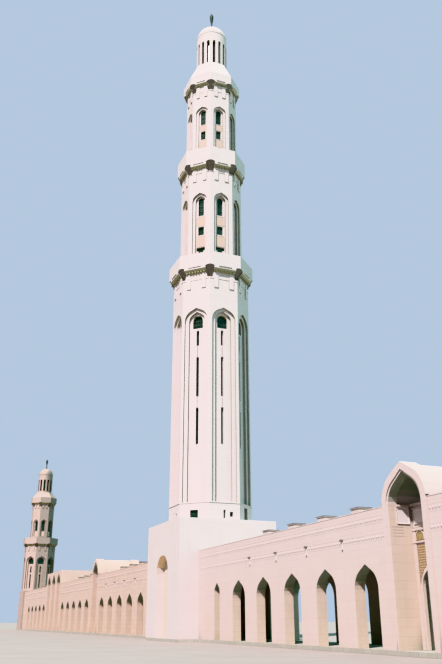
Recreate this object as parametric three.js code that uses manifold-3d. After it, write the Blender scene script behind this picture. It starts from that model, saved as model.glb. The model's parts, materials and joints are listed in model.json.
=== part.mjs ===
// A stone mosque front: a tall octagonal minaret on a square block, astride a long arcaded
// gallery with pointed vaulted portals and a smaller minaret at the gallery's far end.
// A 1:10 model. The origin is on the ground on the tall minaret's axis, +X runs along the
// gallery towards its near end, -Y is the outer side and +Y the courtyard side, +Z is up.
import * as THREE from 'three';
import { mergeVertices } from 'three/addons/utils/BufferGeometryUtils.js';
import Module from 'manifold-3d';

const wasm = await Module();
wasm.setup();

// One metre of the real building, in millimetres of the 1:10 model
const METRE = 100;

// Gallery, in real metres
const BAY = 5.58;
const GALLERY_HALF = 3.54;
const GALLERY_WALL = 0.85;
const FLOOR_TOP = 0.3;
const PARAPET_TOP = 9.26;
const ROOF_TOP = 8.3;
const ROOF_THICK = 0.45;
const ARCH_HALF = 1.5;
const ARCH_SPRING = 4.1;
const ARCH_APEX = 5.73;
const NARROW_HALF = 0.74;
const NARROW_SPRING = 4.8;
const BAYS_IN_WING = [3, 4, 5, 6, 7];
const NARROW_BAY = 2;
const PORTAL_BAY = 7.94;
const SECOND_WING_BAYS = [9, 10, 11, 12, 13];
const TRIPLE_BAYS = [14, 15, 16];
const LAST_WING_BAYS = [17, 18, 19, 20, 21];

// Roof lights over the bays
const LIGHT_HALF = 0.58;
const LIGHT_TOP = 10.41;
const LIGHT_LID_HALF = 0.66;
const LIGHT_LID_THICK = 0.06;

// Portals: frames at both ends, a slightly lower vault between them
const PORTAL_HALF = 2.43;
const PORTAL_SHOULDER = 9.3;
const PORTAL_RIDGE = 11.9;
const PORTAL_FRAME_THICK = 1.3;
const PORTAL_ROOF_DROP = 0.14;
const PORTAL_OPEN_HALF = 1.81;
const PORTAL_OPEN_SPRING = 9.2;
const PORTAL_OPEN_APEX = 11.25;
const PORTAL_RIM = 0.16;
const PORTAL_RIM_DEPTH = 0.08;
const PORTAL_REACH = GALLERY_HALF + 0.12;
const PORTAL_FRONT_WALL = 0.8;
const PORTAL_HALL_HALF = 1.98;
const PORTAL_HALL_FOOT = 9.14;
const PORTAL_HALL_SPRING = 9.5;
const PORTAL_HALL_APEX = 11.4;
const TRIPLE_TOP = 11.9;
const SCREEN_FRONT = 1.75;
const SCREEN_THICK = 0.15;
const SCREEN_TOP = 9.3;
const SCREEN_DOOR_HALF = 1.2;
const SCREEN_DOOR_SPRING = 4.1;
const SCREEN_DOOR_APEX = 5.5;
const PASSAGE_HALF = 0.95;
const PASSAGE_SPRING = 3.6;
const PASSAGE_APEX = 4.9;

// Square block under the tall minaret
const BLOCK_HALF = 5.88;
const BLOCK_ROOM_HALF = 3.18;
const BLOCK_TOP = 12.79;
const BLOCK_ROOF = 0.6;
const NICHE_HALF = 2.1;
const NICHE_SPRING = 7.25;
const NICHE_APEX = 9.12;
const NICHE_DEPTH = 0.9;

// Tall minaret: heights above the ground and widths across the flats
const SHAFT_ACROSS = 9.2;
const SHAFT_ROOM = 6.5;
const PLINTH_TOP = 14.9;
const FINIAL_TIP = 91.5;
const TALL_DOME_HEIGHT = 2.35;

// Openings of the tall minaret's plinth: half widths, feet and tops, and the faces they are on
const PLINTH_WINDOW = { half: 0.5, foot: 13.1, top: 14.0, faces: [3, 5, 7] };
const PLINTH_SLIT = { half: 0.14, foot: 13.05, top: 14.0, faces: [0, 2, 4, 6] };
const PLINTH_VENT = { off: 0.85, half: 0.2, foot: 13.25, top: 13.8 };
const PLINTH_DOOR = { half: 0.5, top: 14.5, faces: [1] };

// Small minaret at the far end of the gallery
const CORNER_X = -130.5;
const CORNER_BLOCK_HALF = 3.9;
const CORNER_BLOCK_TOP = 9.6;
const CORNER_ROOM_HALF = 2.7;
const CORNER_ROOF = 0.5;
const CORNER_TIP = 45.5;
const SMALL_DOME_HEIGHT = 2.05;

// Balconies: floor, parapet, and what is left of a corner above its notch
const BALCONY_FLOOR = 0.3;
const BALCONY_RAIL = 0.35;
const NOTCH_LIP = 0.15;

// The haunch of the pointed arches, and of the round heads
const ARCH_HAUNCH = 0.9;
const ROUND_HAUNCH = 1;

// Finial: radius at each share of its height
const FINIAL_FOOT_RADIUS = 0.28;
const FINIAL_PROFILE = [
  [0.16, 0.1], [0.11, 0.35], [0.2, 0.5], [0.28, 0.7], [0.27, 0.82], [0.1, 0.9], [0.05, 0.94],
];

// Faceting
const GALLERY_ARC_STEPS = 5;
const TALL_ARC_STEPS = 4;
const SMALL_ARC_STEPS = 2;
const SLIT_ARC_STEPS = 2;
const ROUND_SIDES = 32;
const FINIAL_SIDES = 12;
const DOME_STEPS = 6;
const DOME_FLAT = 0.3;
const OCTAGON = 8;

// Gap between pieces that rest on or meet each other, reach of a cut past its face, and the
// distance within which two points are one
const SEAT_GAP = 0.003;
const CUT_OVER = 0.5;
const MERGE = 1e-6;
const WALL_FOOT = FLOOR_TOP + SEAT_GAP;

const STONE = { color: 0xeee0d6, roughness: 0.75, metalness: 0.0 };
const TOWER_STONE = { color: 0xf0e6df, roughness: 0.72, metalness: 0.0 };
const PAVING_STONE = { color: 0xd8cbbd, roughness: 0.6, metalness: 0.0 };
const BRONZE = { color: 0x3b4a3f, roughness: 0.4, metalness: 0.9 };

const mosque = new THREE.Group();

// Turns a closed geometry into a solid that can be joined and cut
function toSolid(geometry) {
  const bare = geometry.clone();
  bare.deleteAttribute('normal');
  bare.deleteAttribute('uv');
  const merged = mergeVertices(bare, MERGE);
  return new wasm.Manifold(new wasm.Mesh({
    numProp: 3,
    vertProperties: new Float32Array(merged.attributes.position.array),
    triVerts: new Uint32Array(merged.index.array),
  }));
}

function toGeometry(solid) {
  const mesh = solid.getMesh();
  const geometry = new THREE.BufferGeometry();
  geometry.setAttribute('position', new THREE.BufferAttribute(mesh.vertProperties, 3));
  geometry.setIndex(new THREE.BufferAttribute(mesh.triVerts, 1));
  geometry.computeVertexNormals();
  return geometry;
}

function join(solids) {
  return solids.reduce((whole, piece) => whole.add(piece));
}

function cutAll(solid, cutters) {
  return cutters.length ? solid.subtract(join(cutters)) : solid;
}

function moved(solid, x) {
  return solid.translate([x, 0, 0]);
}

// Adds a solid in real metres to the model as a named mesh at 1:10
function addPiece(name, solid, look) {
  const geometry = toGeometry(solid);
  geometry.scale(METRE, METRE, METRE);
  const mesh = new THREE.Mesh(geometry, new THREE.MeshStandardMaterial(look));
  mesh.name = name;
  mosque.add(mesh);
}

function box(x0, x1, y0, y1, z0, z1) {
  const geometry = new THREE.BoxGeometry(x1 - x0, y1 - y0, z1 - z0);
  geometry.translate((x0 + x1) / 2, (y0 + y1) / 2, (z0 + z1) / 2);
  return toSolid(geometry);
}

// The points of an arch from its left spring over the apex to its right spring. Each side is
// an arc that stands upright at the spring, and then a straight line up to the apex. The
// haunch is the arc's radius as a share of the half width
function archPoints({ x: centre = 0, half, spring, apex, haunch }, steps = GALLERY_ARC_STEPS) {
  const rise = apex - spring;
  const radius = haunch * half;
  const inset = half - radius;
  const sweep = Math.atan2(inset, rise) + Math.asin(Math.min(1, radius / Math.hypot(rise, inset)));
  const flank = [];
  for (let step = 0; step <= steps; step += 1) {
    const angle = (sweep * step) / steps;
    flank.push([inset + radius * Math.cos(angle), spring + radius * Math.sin(angle)]);
  }
  const beside = flank.filter(([x]) => x > MERGE);
  const left = beside.map(([x, z]) => [centre - x, z]);
  const right = beside.reverse().map(([x, z]) => [centre + x, z]);
  return [...left, [centre, apex], ...right];
}

// An arched outline standing on a foot, as a shape in the plane of the wall
function archShape(arch, foot, steps = GALLERY_ARC_STEPS) {
  const { x: centre = 0, half } = arch;
  const shape = new THREE.Shape();
  shape.moveTo(centre - half, foot);
  for (const [x, z] of archPoints(arch, steps)) shape.lineTo(x, z);
  shape.lineTo(centre + half, foot);
  shape.closePath();
  return shape;
}

function roundHead(half, top) {
  return { half, spring: top - half, apex: top, haunch: ROUND_HAUNCH };
}

function rectShape(centre, half, foot, top) {
  const shape = new THREE.Shape();
  shape.moveTo(centre - half, foot);
  shape.lineTo(centre + half, foot);
  shape.lineTo(centre + half, top);
  shape.lineTo(centre - half, top);
  shape.closePath();
  return shape;
}

// A shape drawn in X and Z, made thick from y0 to y1
function thickAlongY(shape, y0, y1) {
  const geometry = new THREE.ExtrudeGeometry(shape, { depth: y1 - y0, bevelEnabled: false });
  geometry.rotateX(Math.PI / 2);
  geometry.translate(0, y1, 0);
  return toSolid(geometry);
}

// A shape drawn across a face of normal +X, made thick from x0 to x1
function thickAlongX(shape, x0, x1) {
  const geometry = new THREE.ExtrudeGeometry(shape, { depth: x1 - x0, bevelEnabled: false });
  geometry.rotateX(Math.PI / 2);
  geometry.rotateZ(Math.PI / 2);
  geometry.translate(x0, 0, 0);
  return toSolid(geometry);
}

// A wall along X with arched openings that reach down to the floor
function arcadeWall(x0, x1, y0, y1, arches) {
  const shape = new THREE.Shape();
  shape.moveTo(x0, WALL_FOOT);
  for (const arch of arches) {
    shape.lineTo(arch.x - arch.half, WALL_FOOT);
    for (const [x, z] of archPoints(arch)) shape.lineTo(x, z);
    shape.lineTo(arch.x + arch.half, WALL_FOOT);
  }
  shape.lineTo(x1, WALL_FOOT);
  shape.lineTo(x1, PARAPET_TOP);
  shape.lineTo(x0, PARAPET_TOP);
  shape.closePath();
  return thickAlongY(shape, y0, y1);
}

function wideArch(x) {
  return { x, half: ARCH_HALF, spring: ARCH_SPRING, apex: ARCH_APEX, haunch: ARCH_HAUNCH };
}

function narrowArch(x) {
  return { x, half: NARROW_HALF, spring: NARROW_SPRING, apex: ARCH_APEX, haunch: ARCH_HAUNCH };
}

// The roof slab between a wing's walls, with its roof lights
function wingRoof(x0, x1, lights) {
  const reach = GALLERY_HALF - GALLERY_WALL - SEAT_GAP;
  const lidFoot = LIGHT_TOP - LIGHT_LID_THICK;
  const pieces = [box(x0, x1, -reach, reach, ROOF_TOP - ROOF_THICK, ROOF_TOP)];
  const light = box(-LIGHT_HALF, LIGHT_HALF, -LIGHT_HALF, LIGHT_HALF, ROOF_TOP - ROOF_THICK, lidFoot);
  const lid = box(-LIGHT_LID_HALF, LIGHT_LID_HALF, -LIGHT_LID_HALF, LIGHT_LID_HALF, lidFoot, LIGHT_TOP);
  for (const x of lights) pieces.push(moved(light, x), moved(lid, x));
  return join(pieces);
}

// One stretch of gallery: outer wall, courtyard wall and roof
function addWing(name, from, to, arches, lights) {
  const x0 = from + SEAT_GAP;
  const x1 = to - SEAT_GAP;
  const inner = GALLERY_HALF - GALLERY_WALL;
  addPiece(`${name}_outer_wall`, arcadeWall(x0, x1, -GALLERY_HALF, -inner, arches), STONE);
  addPiece(`${name}_court_wall`, arcadeWall(x0, x1, inner, GALLERY_HALF, arches), STONE);
  addPiece(`${name}_roof`, wingRoof(x0, x1, lights), STONE);
}

// The cutters of one vaulted portal opening: the way through, its stepped rim on both faces,
// and the wider vault between the front walls, above the ledge at the screen's top
function portalOpening(x) {
  const arch = {
    x,
    half: PORTAL_OPEN_HALF,
    spring: PORTAL_OPEN_SPRING,
    apex: PORTAL_OPEN_APEX,
    haunch: ARCH_HAUNCH,
  };
  const open = archShape(arch, 0);
  const rim = archShape({ ...arch, half: arch.half + PORTAL_RIM, apex: arch.apex + PORTAL_RIM }, 0);
  const hall = archShape({
    x,
    half: PORTAL_HALL_HALF,
    spring: PORTAL_HALL_SPRING,
    apex: PORTAL_HALL_APEX,
    haunch: ARCH_HAUNCH,
  }, PORTAL_HALL_FOOT);
  return [
    thickAlongY(open, -PORTAL_REACH - CUT_OVER, PORTAL_REACH + CUT_OVER),
    thickAlongY(rim, -PORTAL_REACH - CUT_OVER, -PORTAL_REACH + PORTAL_RIM_DEPTH),
    thickAlongY(rim, PORTAL_REACH - PORTAL_RIM_DEPTH, PORTAL_REACH + CUT_OVER),
    thickAlongY(hall, -PORTAL_REACH + PORTAL_FRONT_WALL, PORTAL_REACH - PORTAL_FRONT_WALL),
  ];
}

// The passage that lets the gallery run on through a portal's side walls
function passage(x0, x1) {
  const arch = { half: PASSAGE_HALF, spring: PASSAGE_SPRING, apex: PASSAGE_APEX, haunch: ARCH_HAUNCH };
  return thickAlongX(archShape(arch, 0), x0 - CUT_OVER, x1 + CUT_OVER);
}

function screenWall(x) {
  const half = PORTAL_OPEN_HALF - SEAT_GAP;
  const wall = rectShape(x, half, WALL_FOOT, SCREEN_TOP);
  const arch = {
    x,
    half: SCREEN_DOOR_HALF,
    spring: SCREEN_DOOR_SPRING,
    apex: SCREEN_DOOR_APEX,
    haunch: ARCH_HAUNCH,
  };
  const door = thickAlongY(archShape(arch, 0), -SCREEN_FRONT - CUT_OVER, 0);
  return thickAlongY(wall, -SCREEN_FRONT, -SCREEN_FRONT + SCREEN_THICK).subtract(door);
}

// The outside of a single portal: its walls, the vault above them, and a frame at either end
function portalBody(x) {
  const arch = { x, half: PORTAL_HALF, spring: PORTAL_SHOULDER, apex: PORTAL_RIDGE, haunch: ARCH_HAUNCH };
  const lower = { ...arch, half: arch.half - PORTAL_ROOF_DROP, apex: arch.apex - PORTAL_ROOF_DROP };
  const inner = PORTAL_REACH - PORTAL_FRAME_THICK;
  return join([
    thickAlongY(archShape(arch, WALL_FOOT), -PORTAL_REACH, -inner),
    thickAlongY(archShape(arch, WALL_FOOT), inner, PORTAL_REACH),
    thickAlongY(archShape(lower, WALL_FOOT), -inner - CUT_OVER, inner + CUT_OVER),
    box(x - PORTAL_HALF, x + PORTAL_HALF, -inner - CUT_OVER, inner + CUT_OVER, WALL_FOOT, PARAPET_TOP),
  ]);
}

// A single portal: a pointed vault across the gallery that rises above its parapet
function addPortal(name, x) {
  const cutters = [...portalOpening(x), passage(x - PORTAL_HALF, x + PORTAL_HALF)];
  addPiece(`${name}_vault`, cutAll(portalBody(x), cutters), STONE);
  addPiece(`${name}_screen`, screenWall(x), STONE);
}

// The three adjoining portals under one level top
function addTriplePortal(name, bays, x0, x1) {
  const body = box(x0, x1, -PORTAL_REACH, PORTAL_REACH, WALL_FOOT, TRIPLE_TOP);
  const cutters = bays.flatMap((bay) => portalOpening(-bay * BAY));
  addPiece(`${name}_vault`, cutAll(body, [...cutters, passage(x0, x1)]), STONE);
  bays.forEach((bay, index) => addPiece(`${name}_screen_${index + 1}`, screenWall(-bay * BAY), STONE));
}

// The square block: walls round one room, a tall niche on its outer and courtyard faces,
// and an arch on each side where the gallery comes in
function baseBlock() {
  const wallTop = BLOCK_TOP - BLOCK_ROOF - SEAT_GAP;
  const walls = box(-BLOCK_HALF, BLOCK_HALF, -BLOCK_HALF, BLOCK_HALF, WALL_FOOT, wallTop);
  const room = box(
    -BLOCK_ROOM_HALF, BLOCK_ROOM_HALF, -BLOCK_ROOM_HALF, BLOCK_ROOM_HALF, 0, wallTop + CUT_OVER,
  );
  const niche = archShape({
    half: NICHE_HALF,
    spring: NICHE_SPRING,
    apex: NICHE_APEX,
    haunch: ARCH_HAUNCH,
  }, 0);
  const door = archShape(wideArch(0), 0);
  return cutAll(walls, [
    room,
    thickAlongY(niche, -BLOCK_HALF - CUT_OVER, -BLOCK_HALF + NICHE_DEPTH),
    thickAlongY(niche, BLOCK_HALF - NICHE_DEPTH, BLOCK_HALF + CUT_OVER),
    thickAlongX(door, -BLOCK_HALF - CUT_OVER, BLOCK_HALF + CUT_OVER),
  ]);
}

// An octagon with a flat towards +X, as a shape seen from above
function octagonShape(across) {
  const shape = new THREE.Shape();
  const radius = across / 2 / Math.cos(Math.PI / OCTAGON);
  for (let corner = 0; corner < OCTAGON; corner += 1) {
    const angle = ((2 * corner + 1) * Math.PI) / OCTAGON;
    const point = [radius * Math.cos(angle), radius * Math.sin(angle)];
    if (corner === 0) shape.moveTo(...point);
    else shape.lineTo(...point);
  }
  shape.closePath();
  return shape;
}

function octagonPrism(across, z0, z1) {
  const geometry = new THREE.ExtrudeGeometry(octagonShape(across), { depth: z1 - z0, bevelEnabled: false });
  geometry.translate(0, 0, z0);
  return toSolid(geometry);
}

// An octagonal frustum with its flats across X and Y
function octagonTaper(acrossFoot, acrossTop, z0, z1) {
  const toRadius = 0.5 / Math.cos(Math.PI / OCTAGON);
  const geometry = new THREE.CylinderGeometry(acrossTop * toRadius, acrossFoot * toRadius, z1 - z0, OCTAGON);
  geometry.rotateX(Math.PI / 2);
  geometry.rotateZ(Math.PI / OCTAGON);
  geometry.translate(0, 0, (z0 + z1) / 2);
  return toSolid(geometry);
}

function roundPrism(radius, z0, z1) {
  const geometry = new THREE.CylinderGeometry(radius, radius, z1 - z0, ROUND_SIDES);
  geometry.rotateX(Math.PI / 2);
  geometry.translate(0, 0, (z0 + z1) / 2);
  return toSolid(geometry);
}

// The same cutter on each listed face of an octagon, face 0 towards +X and so on round
function roundFaces(cutter, faces) {
  return faces.map((face) => cutter.rotate([0, 0, (face * 360) / OCTAGON]));
}

const ALL_FACES = [...Array(OCTAGON).keys()];

// One storey of a minaret: an octagonal tube. On each face two stepped pointed recesses
// run up from the sill, with a round-headed window and narrow slits cut through the wall,
// and on the tall shaft a thin groove joins the slits
function minaretStage(stage, steps) {
  const half = stage.across / 2;
  const outside = half + CUT_OVER;
  const inside = stage.room / 2 - CUT_OVER;
  const tube = octagonPrism(stage.across, stage.foot + SEAT_GAP, stage.top - SEAT_GAP)
    .subtract(octagonPrism(stage.room, stage.foot - CUT_OVER, stage.top + CUT_OVER));
  const face = [];
  for (const recess of stage.recesses) {
    const outline = archShape({ ...recess, haunch: ARCH_HAUNCH }, recess.sill, steps);
    face.push(thickAlongX(outline, half - recess.depth, outside));
  }
  for (const opening of stage.windows) {
    const outline = archShape(roundHead(opening.half, opening.top), opening.sill, steps);
    face.push(thickAlongX(outline, inside, outside));
  }
  for (const slit of stage.slits) {
    face.push(thickAlongX(rectShape(0, slit.half, slit.foot, slit.top), inside, outside));
  }
  if (stage.groove) {
    const outline = rectShape(0, stage.groove.half, stage.groove.foot, stage.groove.top);
    face.push(thickAlongX(outline, half - stage.groove.depth, outside));
  }
  return cutAll(tube, roundFaces(join(face), ALL_FACES));
}

// A balcony: the wall flares out, a floor closes the tower and a parapet stands round it.
// The topmost one is closed over instead, and carries the lantern's skirt
function minaretBalcony(balcony) {
  const { foot, flareFoot, flare, top, neck, across, room, closed } = balcony;
  const whole = join([
    octagonPrism(neck, foot, flareFoot),
    octagonTaper(neck, across, flareFoot, flare),
    octagonPrism(across, flare, top),
  ]);
  const ceiling = closed ? top - BALCONY_FLOOR : flare;
  const cutters = [octagonPrism(room, foot - CUT_OVER, ceiling), ...cornerNotches(balcony)];
  if (!closed) {
    cutters.push(octagonPrism(across - 2 * BALCONY_RAIL, flare + BALCONY_FLOOR, top + CUT_OVER));
  }
  return cutAll(whole, cutters);
}

// The cutters that hollow each corner of a balcony's flare: a notch with a level ceiling,
// wider at its top, whose back leans outwards as it rises
function cornerNotches({ neck, across, notch }) {
  const toCorner = 0.5 / Math.cos(Math.PI / OCTAGON);
  const outer = across * toCorner;
  const side = new THREE.Shape();
  side.moveTo(neck * toCorner - notch.depth, notch.foot);
  side.lineTo(outer + CUT_OVER, notch.foot);
  side.lineTo(outer + CUT_OVER, notch.top);
  side.lineTo(outer - NOTCH_LIP, notch.top);
  side.closePath();
  const front = new THREE.Shape();
  front.moveTo(-notch.footHalf, notch.foot);
  front.lineTo(notch.footHalf, notch.foot);
  front.lineTo(notch.topHalf, notch.top);
  front.lineTo(-notch.topHalf, notch.top);
  front.closePath();
  const cutter = thickAlongY(side, -outer, outer).intersect(thickAlongX(front, 0, outer + CUT_OVER));
  return ALL_FACES.map((face) => cutter.rotate([0, 0, ((face + 0.5) * 360) / OCTAGON]));
}

// The round lantern drum: a ring wall with upright slits all round, on a flared skirt
function lanternDrum(drum) {
  const skirt = drum.skirt.slice(1).map(([across, top], i) => {
    const [acrossFoot, foot] = drum.skirt[i];
    return octagonTaper(acrossFoot, across, foot, top);
  });
  const ring = roundPrism(drum.radius, drum.skirt[drum.skirt.length - 1][1] - CUT_OVER, drum.top);
  const hollow = roundPrism(drum.radius - drum.wall, drum.skirt[0][1] - CUT_OVER, drum.top + CUT_OVER);
  const outline = archShape(roundHead(drum.slitHalf, drum.slitTop), drum.slitFoot, SLIT_ARC_STEPS);
  const slit = thickAlongX(outline, 0, drum.radius + CUT_OVER);
  const slits = [...Array(drum.slits).keys()].map((i) => slit.rotate([0, 0, ((i + 0.5) * 360) / drum.slits]));
  return cutAll(join([...skirt, ring]), [hollow, ...slits]);
}

// A body turned about the tower's axis from a profile of radius and height
function turned(profile, sides = ROUND_SIDES) {
  const points = profile.map(([radius, height]) => new THREE.Vector2(radius, height));
  const geometry = new THREE.LatheGeometry(points, sides);
  geometry.rotateX(Math.PI / 2);
  return toSolid(geometry);
}

// The height of a dome's small flat top, which the finial stands on
function domeTop(radius, foot, height) {
  return foot + height * Math.sin(Math.acos(DOME_FLAT / radius));
}

// A hollow dome: a half oval outside and a smaller one inside
function dome(radius, wall, foot, height) {
  const outer = [];
  const inner = [];
  const sweep = Math.acos(DOME_FLAT / radius);
  for (let step = 0; step <= DOME_STEPS; step += 1) {
    const angle = (sweep * step) / DOME_STEPS;
    outer.push([radius * Math.cos(angle), foot + height * Math.sin(angle)]);
    inner.push([(radius - wall) * Math.cos(angle), foot + (height - wall) * Math.sin(angle)]);
  }
  const innerTop = inner[DOME_STEPS][1];
  return turned([[0, innerTop], ...inner.reverse(), ...outer, [0, domeTop(radius, foot, height)]]);
}

const TALL_BALCONIES = [
  {
    foot: 43.1, flareFoot: 44.0, flare: 44.45, top: 46.65, neck: 9.3, across: 10.39, room: SHAFT_ROOM,
    notch: { foot: 43.3, footHalf: 0.32, top: 44.84, topHalf: 0.65, depth: 0.9 },
  },
  {
    foot: 59.65, flareFoot: 60.3, flare: 60.65, top: 63.35, neck: 7.85, across: 8.87, room: 5.6,
    notch: { foot: 59.7, footHalf: 0.39, top: 61.15, topHalf: 0.7, depth: 0.85 },
  },
  {
    foot: 73.7, flareFoot: 74.77, flare: 75.05, top: 76.7, neck: 6.75, across: 7.66, room: 4.8,
    notch: { foot: 73.87, footHalf: 0.38, top: 75.3, topHalf: 0.7, depth: 0.75 },
    closed: true,
  },
];

const TALL_STAGES = [
  {
    foot: PLINTH_TOP, top: TALL_BALCONIES[0].foot, across: SHAFT_ACROSS, room: SHAFT_ROOM,
    recesses: [
      { half: 1.58, depth: 0.28, sill: PLINTH_TOP - CUT_OVER, spring: 37.6, apex: 39.25 },
      { half: 1.1, depth: 0.6, sill: PLINTH_TOP - CUT_OVER, spring: 37.6, apex: 38.8 },
    ],
    windows: [{ half: 0.68, sill: 36.6, top: 38.34 }],
    slits: [
      { half: 0.18, foot: 34.3, top: 36.3 },
      { half: 0.18, foot: 27.7, top: 32.8 },
      { half: 0.18, foot: 21.8, top: 26.3 },
    ],
    groove: { half: 0.05, foot: 21.6, top: 36.4, depth: 0.75 },
  },
  {
    foot: TALL_BALCONIES[0].flare + BALCONY_FLOOR, top: TALL_BALCONIES[1].foot, across: 7.73, room: 5.6,
    recesses: [
      { half: 1.07, depth: 0.26, sill: 47.4, spring: 55.45, apex: 56.6 },
      { half: 0.72, depth: 0.55, sill: 47.4, spring: 55.45, apex: 56.22 },
    ],
    windows: [{ half: 0.4, sill: 53.25, top: 56.0 }],
    slits: [
      { half: 0.42, foot: 50.3, top: 51.6 },
      { half: 0.65, foot: 47.95, top: 48.5 },
      { half: 0.38, foot: 47.6, top: 47.96 },
    ],
  },
  {
    foot: TALL_BALCONIES[1].flare + BALCONY_FLOOR, top: TALL_BALCONIES[2].foot, across: 6.66, room: 4.8,
    recesses: [
      { half: 0.95, depth: 0.22, sill: 63.6, spring: 70.25, apex: 71.25 },
      { half: 0.62, depth: 0.48, sill: 63.6, spring: 70.25, apex: 70.92 },
    ],
    windows: [{ half: 0.38, sill: 68.4, top: 70.8 }],
    slits: [
      { half: 0.36, foot: 65.9, top: 67.3 },
      { half: 0.58, foot: 63.75, top: 64.5 },
    ],
  },
];

const TALL_DRUM = {
  skirt: [[7.56, TALL_BALCONIES[2].top + SEAT_GAP], [6.1, 78.3], [5.3, 79.2], [4.7, 79.8]],
  radius: 2.27,
  wall: 0.45,
  top: 85.65,
  slits: 16,
  slitHalf: 0.22,
  slitFoot: 79.95,
  slitTop: 84.2,
};

const SMALL_BALCONIES = [
  {
    foot: 20.53, flareFoot: 21.3, flare: 21.67, top: 23.32, neck: 7.75, across: 8.8, room: 5.4,
    notch: { foot: 20.85, footHalf: 0.28, top: 21.8, topHalf: 0.5, depth: 0.5 },
  },
  {
    foot: 31.68, flareFoot: 32.4, flare: 32.78, top: 34.27, neck: 5.65, across: 6.62, room: 3.9,
    notch: { foot: 31.8, footHalf: 0.35, top: 32.85, topHalf: 0.65, depth: 0.4 },
    closed: true,
  },
];

const SMALL_STAGES = [
  {
    foot: CORNER_BLOCK_TOP, top: SMALL_BALCONIES[0].foot, across: 7.7, room: 5.4,
    recesses: [
      { half: 1.25, depth: 0.28, sill: 10.2, spring: 17.2, apex: 18.5 },
      { half: 0.88, depth: 0.55, sill: 10.2, spring: 17.2, apex: 18.15 },
    ],
    windows: [{ half: 0.78, sill: 16.5, top: 18.1 }],
    slits: [
      { half: 0.2, foot: 14.3, top: 15.9 },
      { half: 0.2, foot: 10.4, top: 13.85 },
    ],
  },
  {
    foot: SMALL_BALCONIES[0].flare + BALCONY_FLOOR, top: SMALL_BALCONIES[1].foot, across: 5.6, room: 3.9,
    recesses: [
      { half: 0.8, depth: 0.22, sill: 23.8, spring: 27.4, apex: 28.35 },
      { half: 0.52, depth: 0.45, sill: 23.8, spring: 27.4, apex: 28.02 },
    ],
    windows: [{ half: 0.4, sill: 25.25, top: 27.95 }],
    slits: [],
  },
];

const SMALL_DRUM = {
  skirt: [[6.52, SMALL_BALCONIES[1].top + SEAT_GAP], [4.9, 35.17], [4.0, 35.8]],
  radius: 1.92,
  wall: 0.4,
  top: 40.65,
  slits: 12,
  slitHalf: 0.28,
  slitFoot: 36.2,
  slitTop: 39.4,
};

function addMinaret(name, x, parts) {
  const { stages, balconies, drum, domeHeight, tip, steps } = parts;
  stages.forEach((stage, i) => {
    addPiece(`${name}_stage_${i + 1}`, moved(minaretStage(stage, steps), x), TOWER_STONE);
  });
  balconies.forEach((balcony, i) => {
    addPiece(`${name}_balcony_${i + 1}`, moved(minaretBalcony(balcony), x), TOWER_STONE);
  });
  addPiece(`${name}_drum`, moved(lanternDrum(drum), x), TOWER_STONE);
  const domeFoot = drum.top + SEAT_GAP;
  addPiece(`${name}_dome`, moved(dome(drum.radius, drum.wall, domeFoot, domeHeight), x), TOWER_STONE);
  const finialFoot = domeTop(drum.radius, domeFoot, domeHeight) + SEAT_GAP;
  addPiece(`${name}_finial`, moved(finial(finialFoot, tip), x), BRONZE);
}

// A bronze finial: a foot, a long bulb and a spike
function finial(foot, tip) {
  const bulb = FINIAL_PROFILE.map(([radius, share]) => [radius, foot + share * (tip - foot)]);
  return turned([[0, foot], [FINIAL_FOOT_RADIUS, foot], ...bulb, [0, tip]], FINIAL_SIDES);
}

const portalX = PORTAL_BAY * BAY;
const nearWingEnd = portalX - PORTAL_HALF;
const stubStart = portalX + PORTAL_HALF;
const stubEnd = (SECOND_WING_BAYS[SECOND_WING_BAYS.length - 1] + 0.5) * BAY;
const farSecondEnd = (TRIPLE_BAYS[0] - 0.5) * BAY;
const farLastStart = (TRIPLE_BAYS[TRIPLE_BAYS.length - 1] + 0.5) * BAY;
const cornerNear = CORNER_X + CORNER_BLOCK_HALF;
const cornerFar = CORNER_X - CORNER_BLOCK_HALF;

function atBays(bays, side) {
  const places = bays.map((bay) => side * bay * BAY);
  return side > 0 ? places : places.reverse();
}

// The floor of a gallery, which also runs out under its portals
function galleryFloor(x0, x1, portals) {
  const strip = box(x0, x1, -GALLERY_HALF, GALLERY_HALF, 0, FLOOR_TOP);
  const pads = portals.map(([from, to]) => box(from, to, -PORTAL_REACH, PORTAL_REACH, 0, FLOOR_TOP));
  return join([strip, ...pads]);
}

function addFloors() {
  const near = galleryFloor(BLOCK_HALF + SEAT_GAP, stubEnd - SEAT_GAP, [[nearWingEnd, stubStart]]);
  const far = galleryFloor(cornerNear + SEAT_GAP, -BLOCK_HALF - SEAT_GAP, [
    [-stubStart, -nearWingEnd],
    [-farLastStart, -farSecondEnd],
  ]);
  addPiece('block_floor', box(-BLOCK_HALF, BLOCK_HALF, -BLOCK_HALF, BLOCK_HALF, 0, FLOOR_TOP), PAVING_STONE);
  addPiece('near_floor', near, PAVING_STONE);
  addPiece('far_floor', far, PAVING_STONE);
  addPiece('corner_floor', box(
    cornerFar, cornerNear, -CORNER_BLOCK_HALF, CORNER_BLOCK_HALF, 0, FLOOR_TOP,
  ), PAVING_STONE);
}

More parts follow.
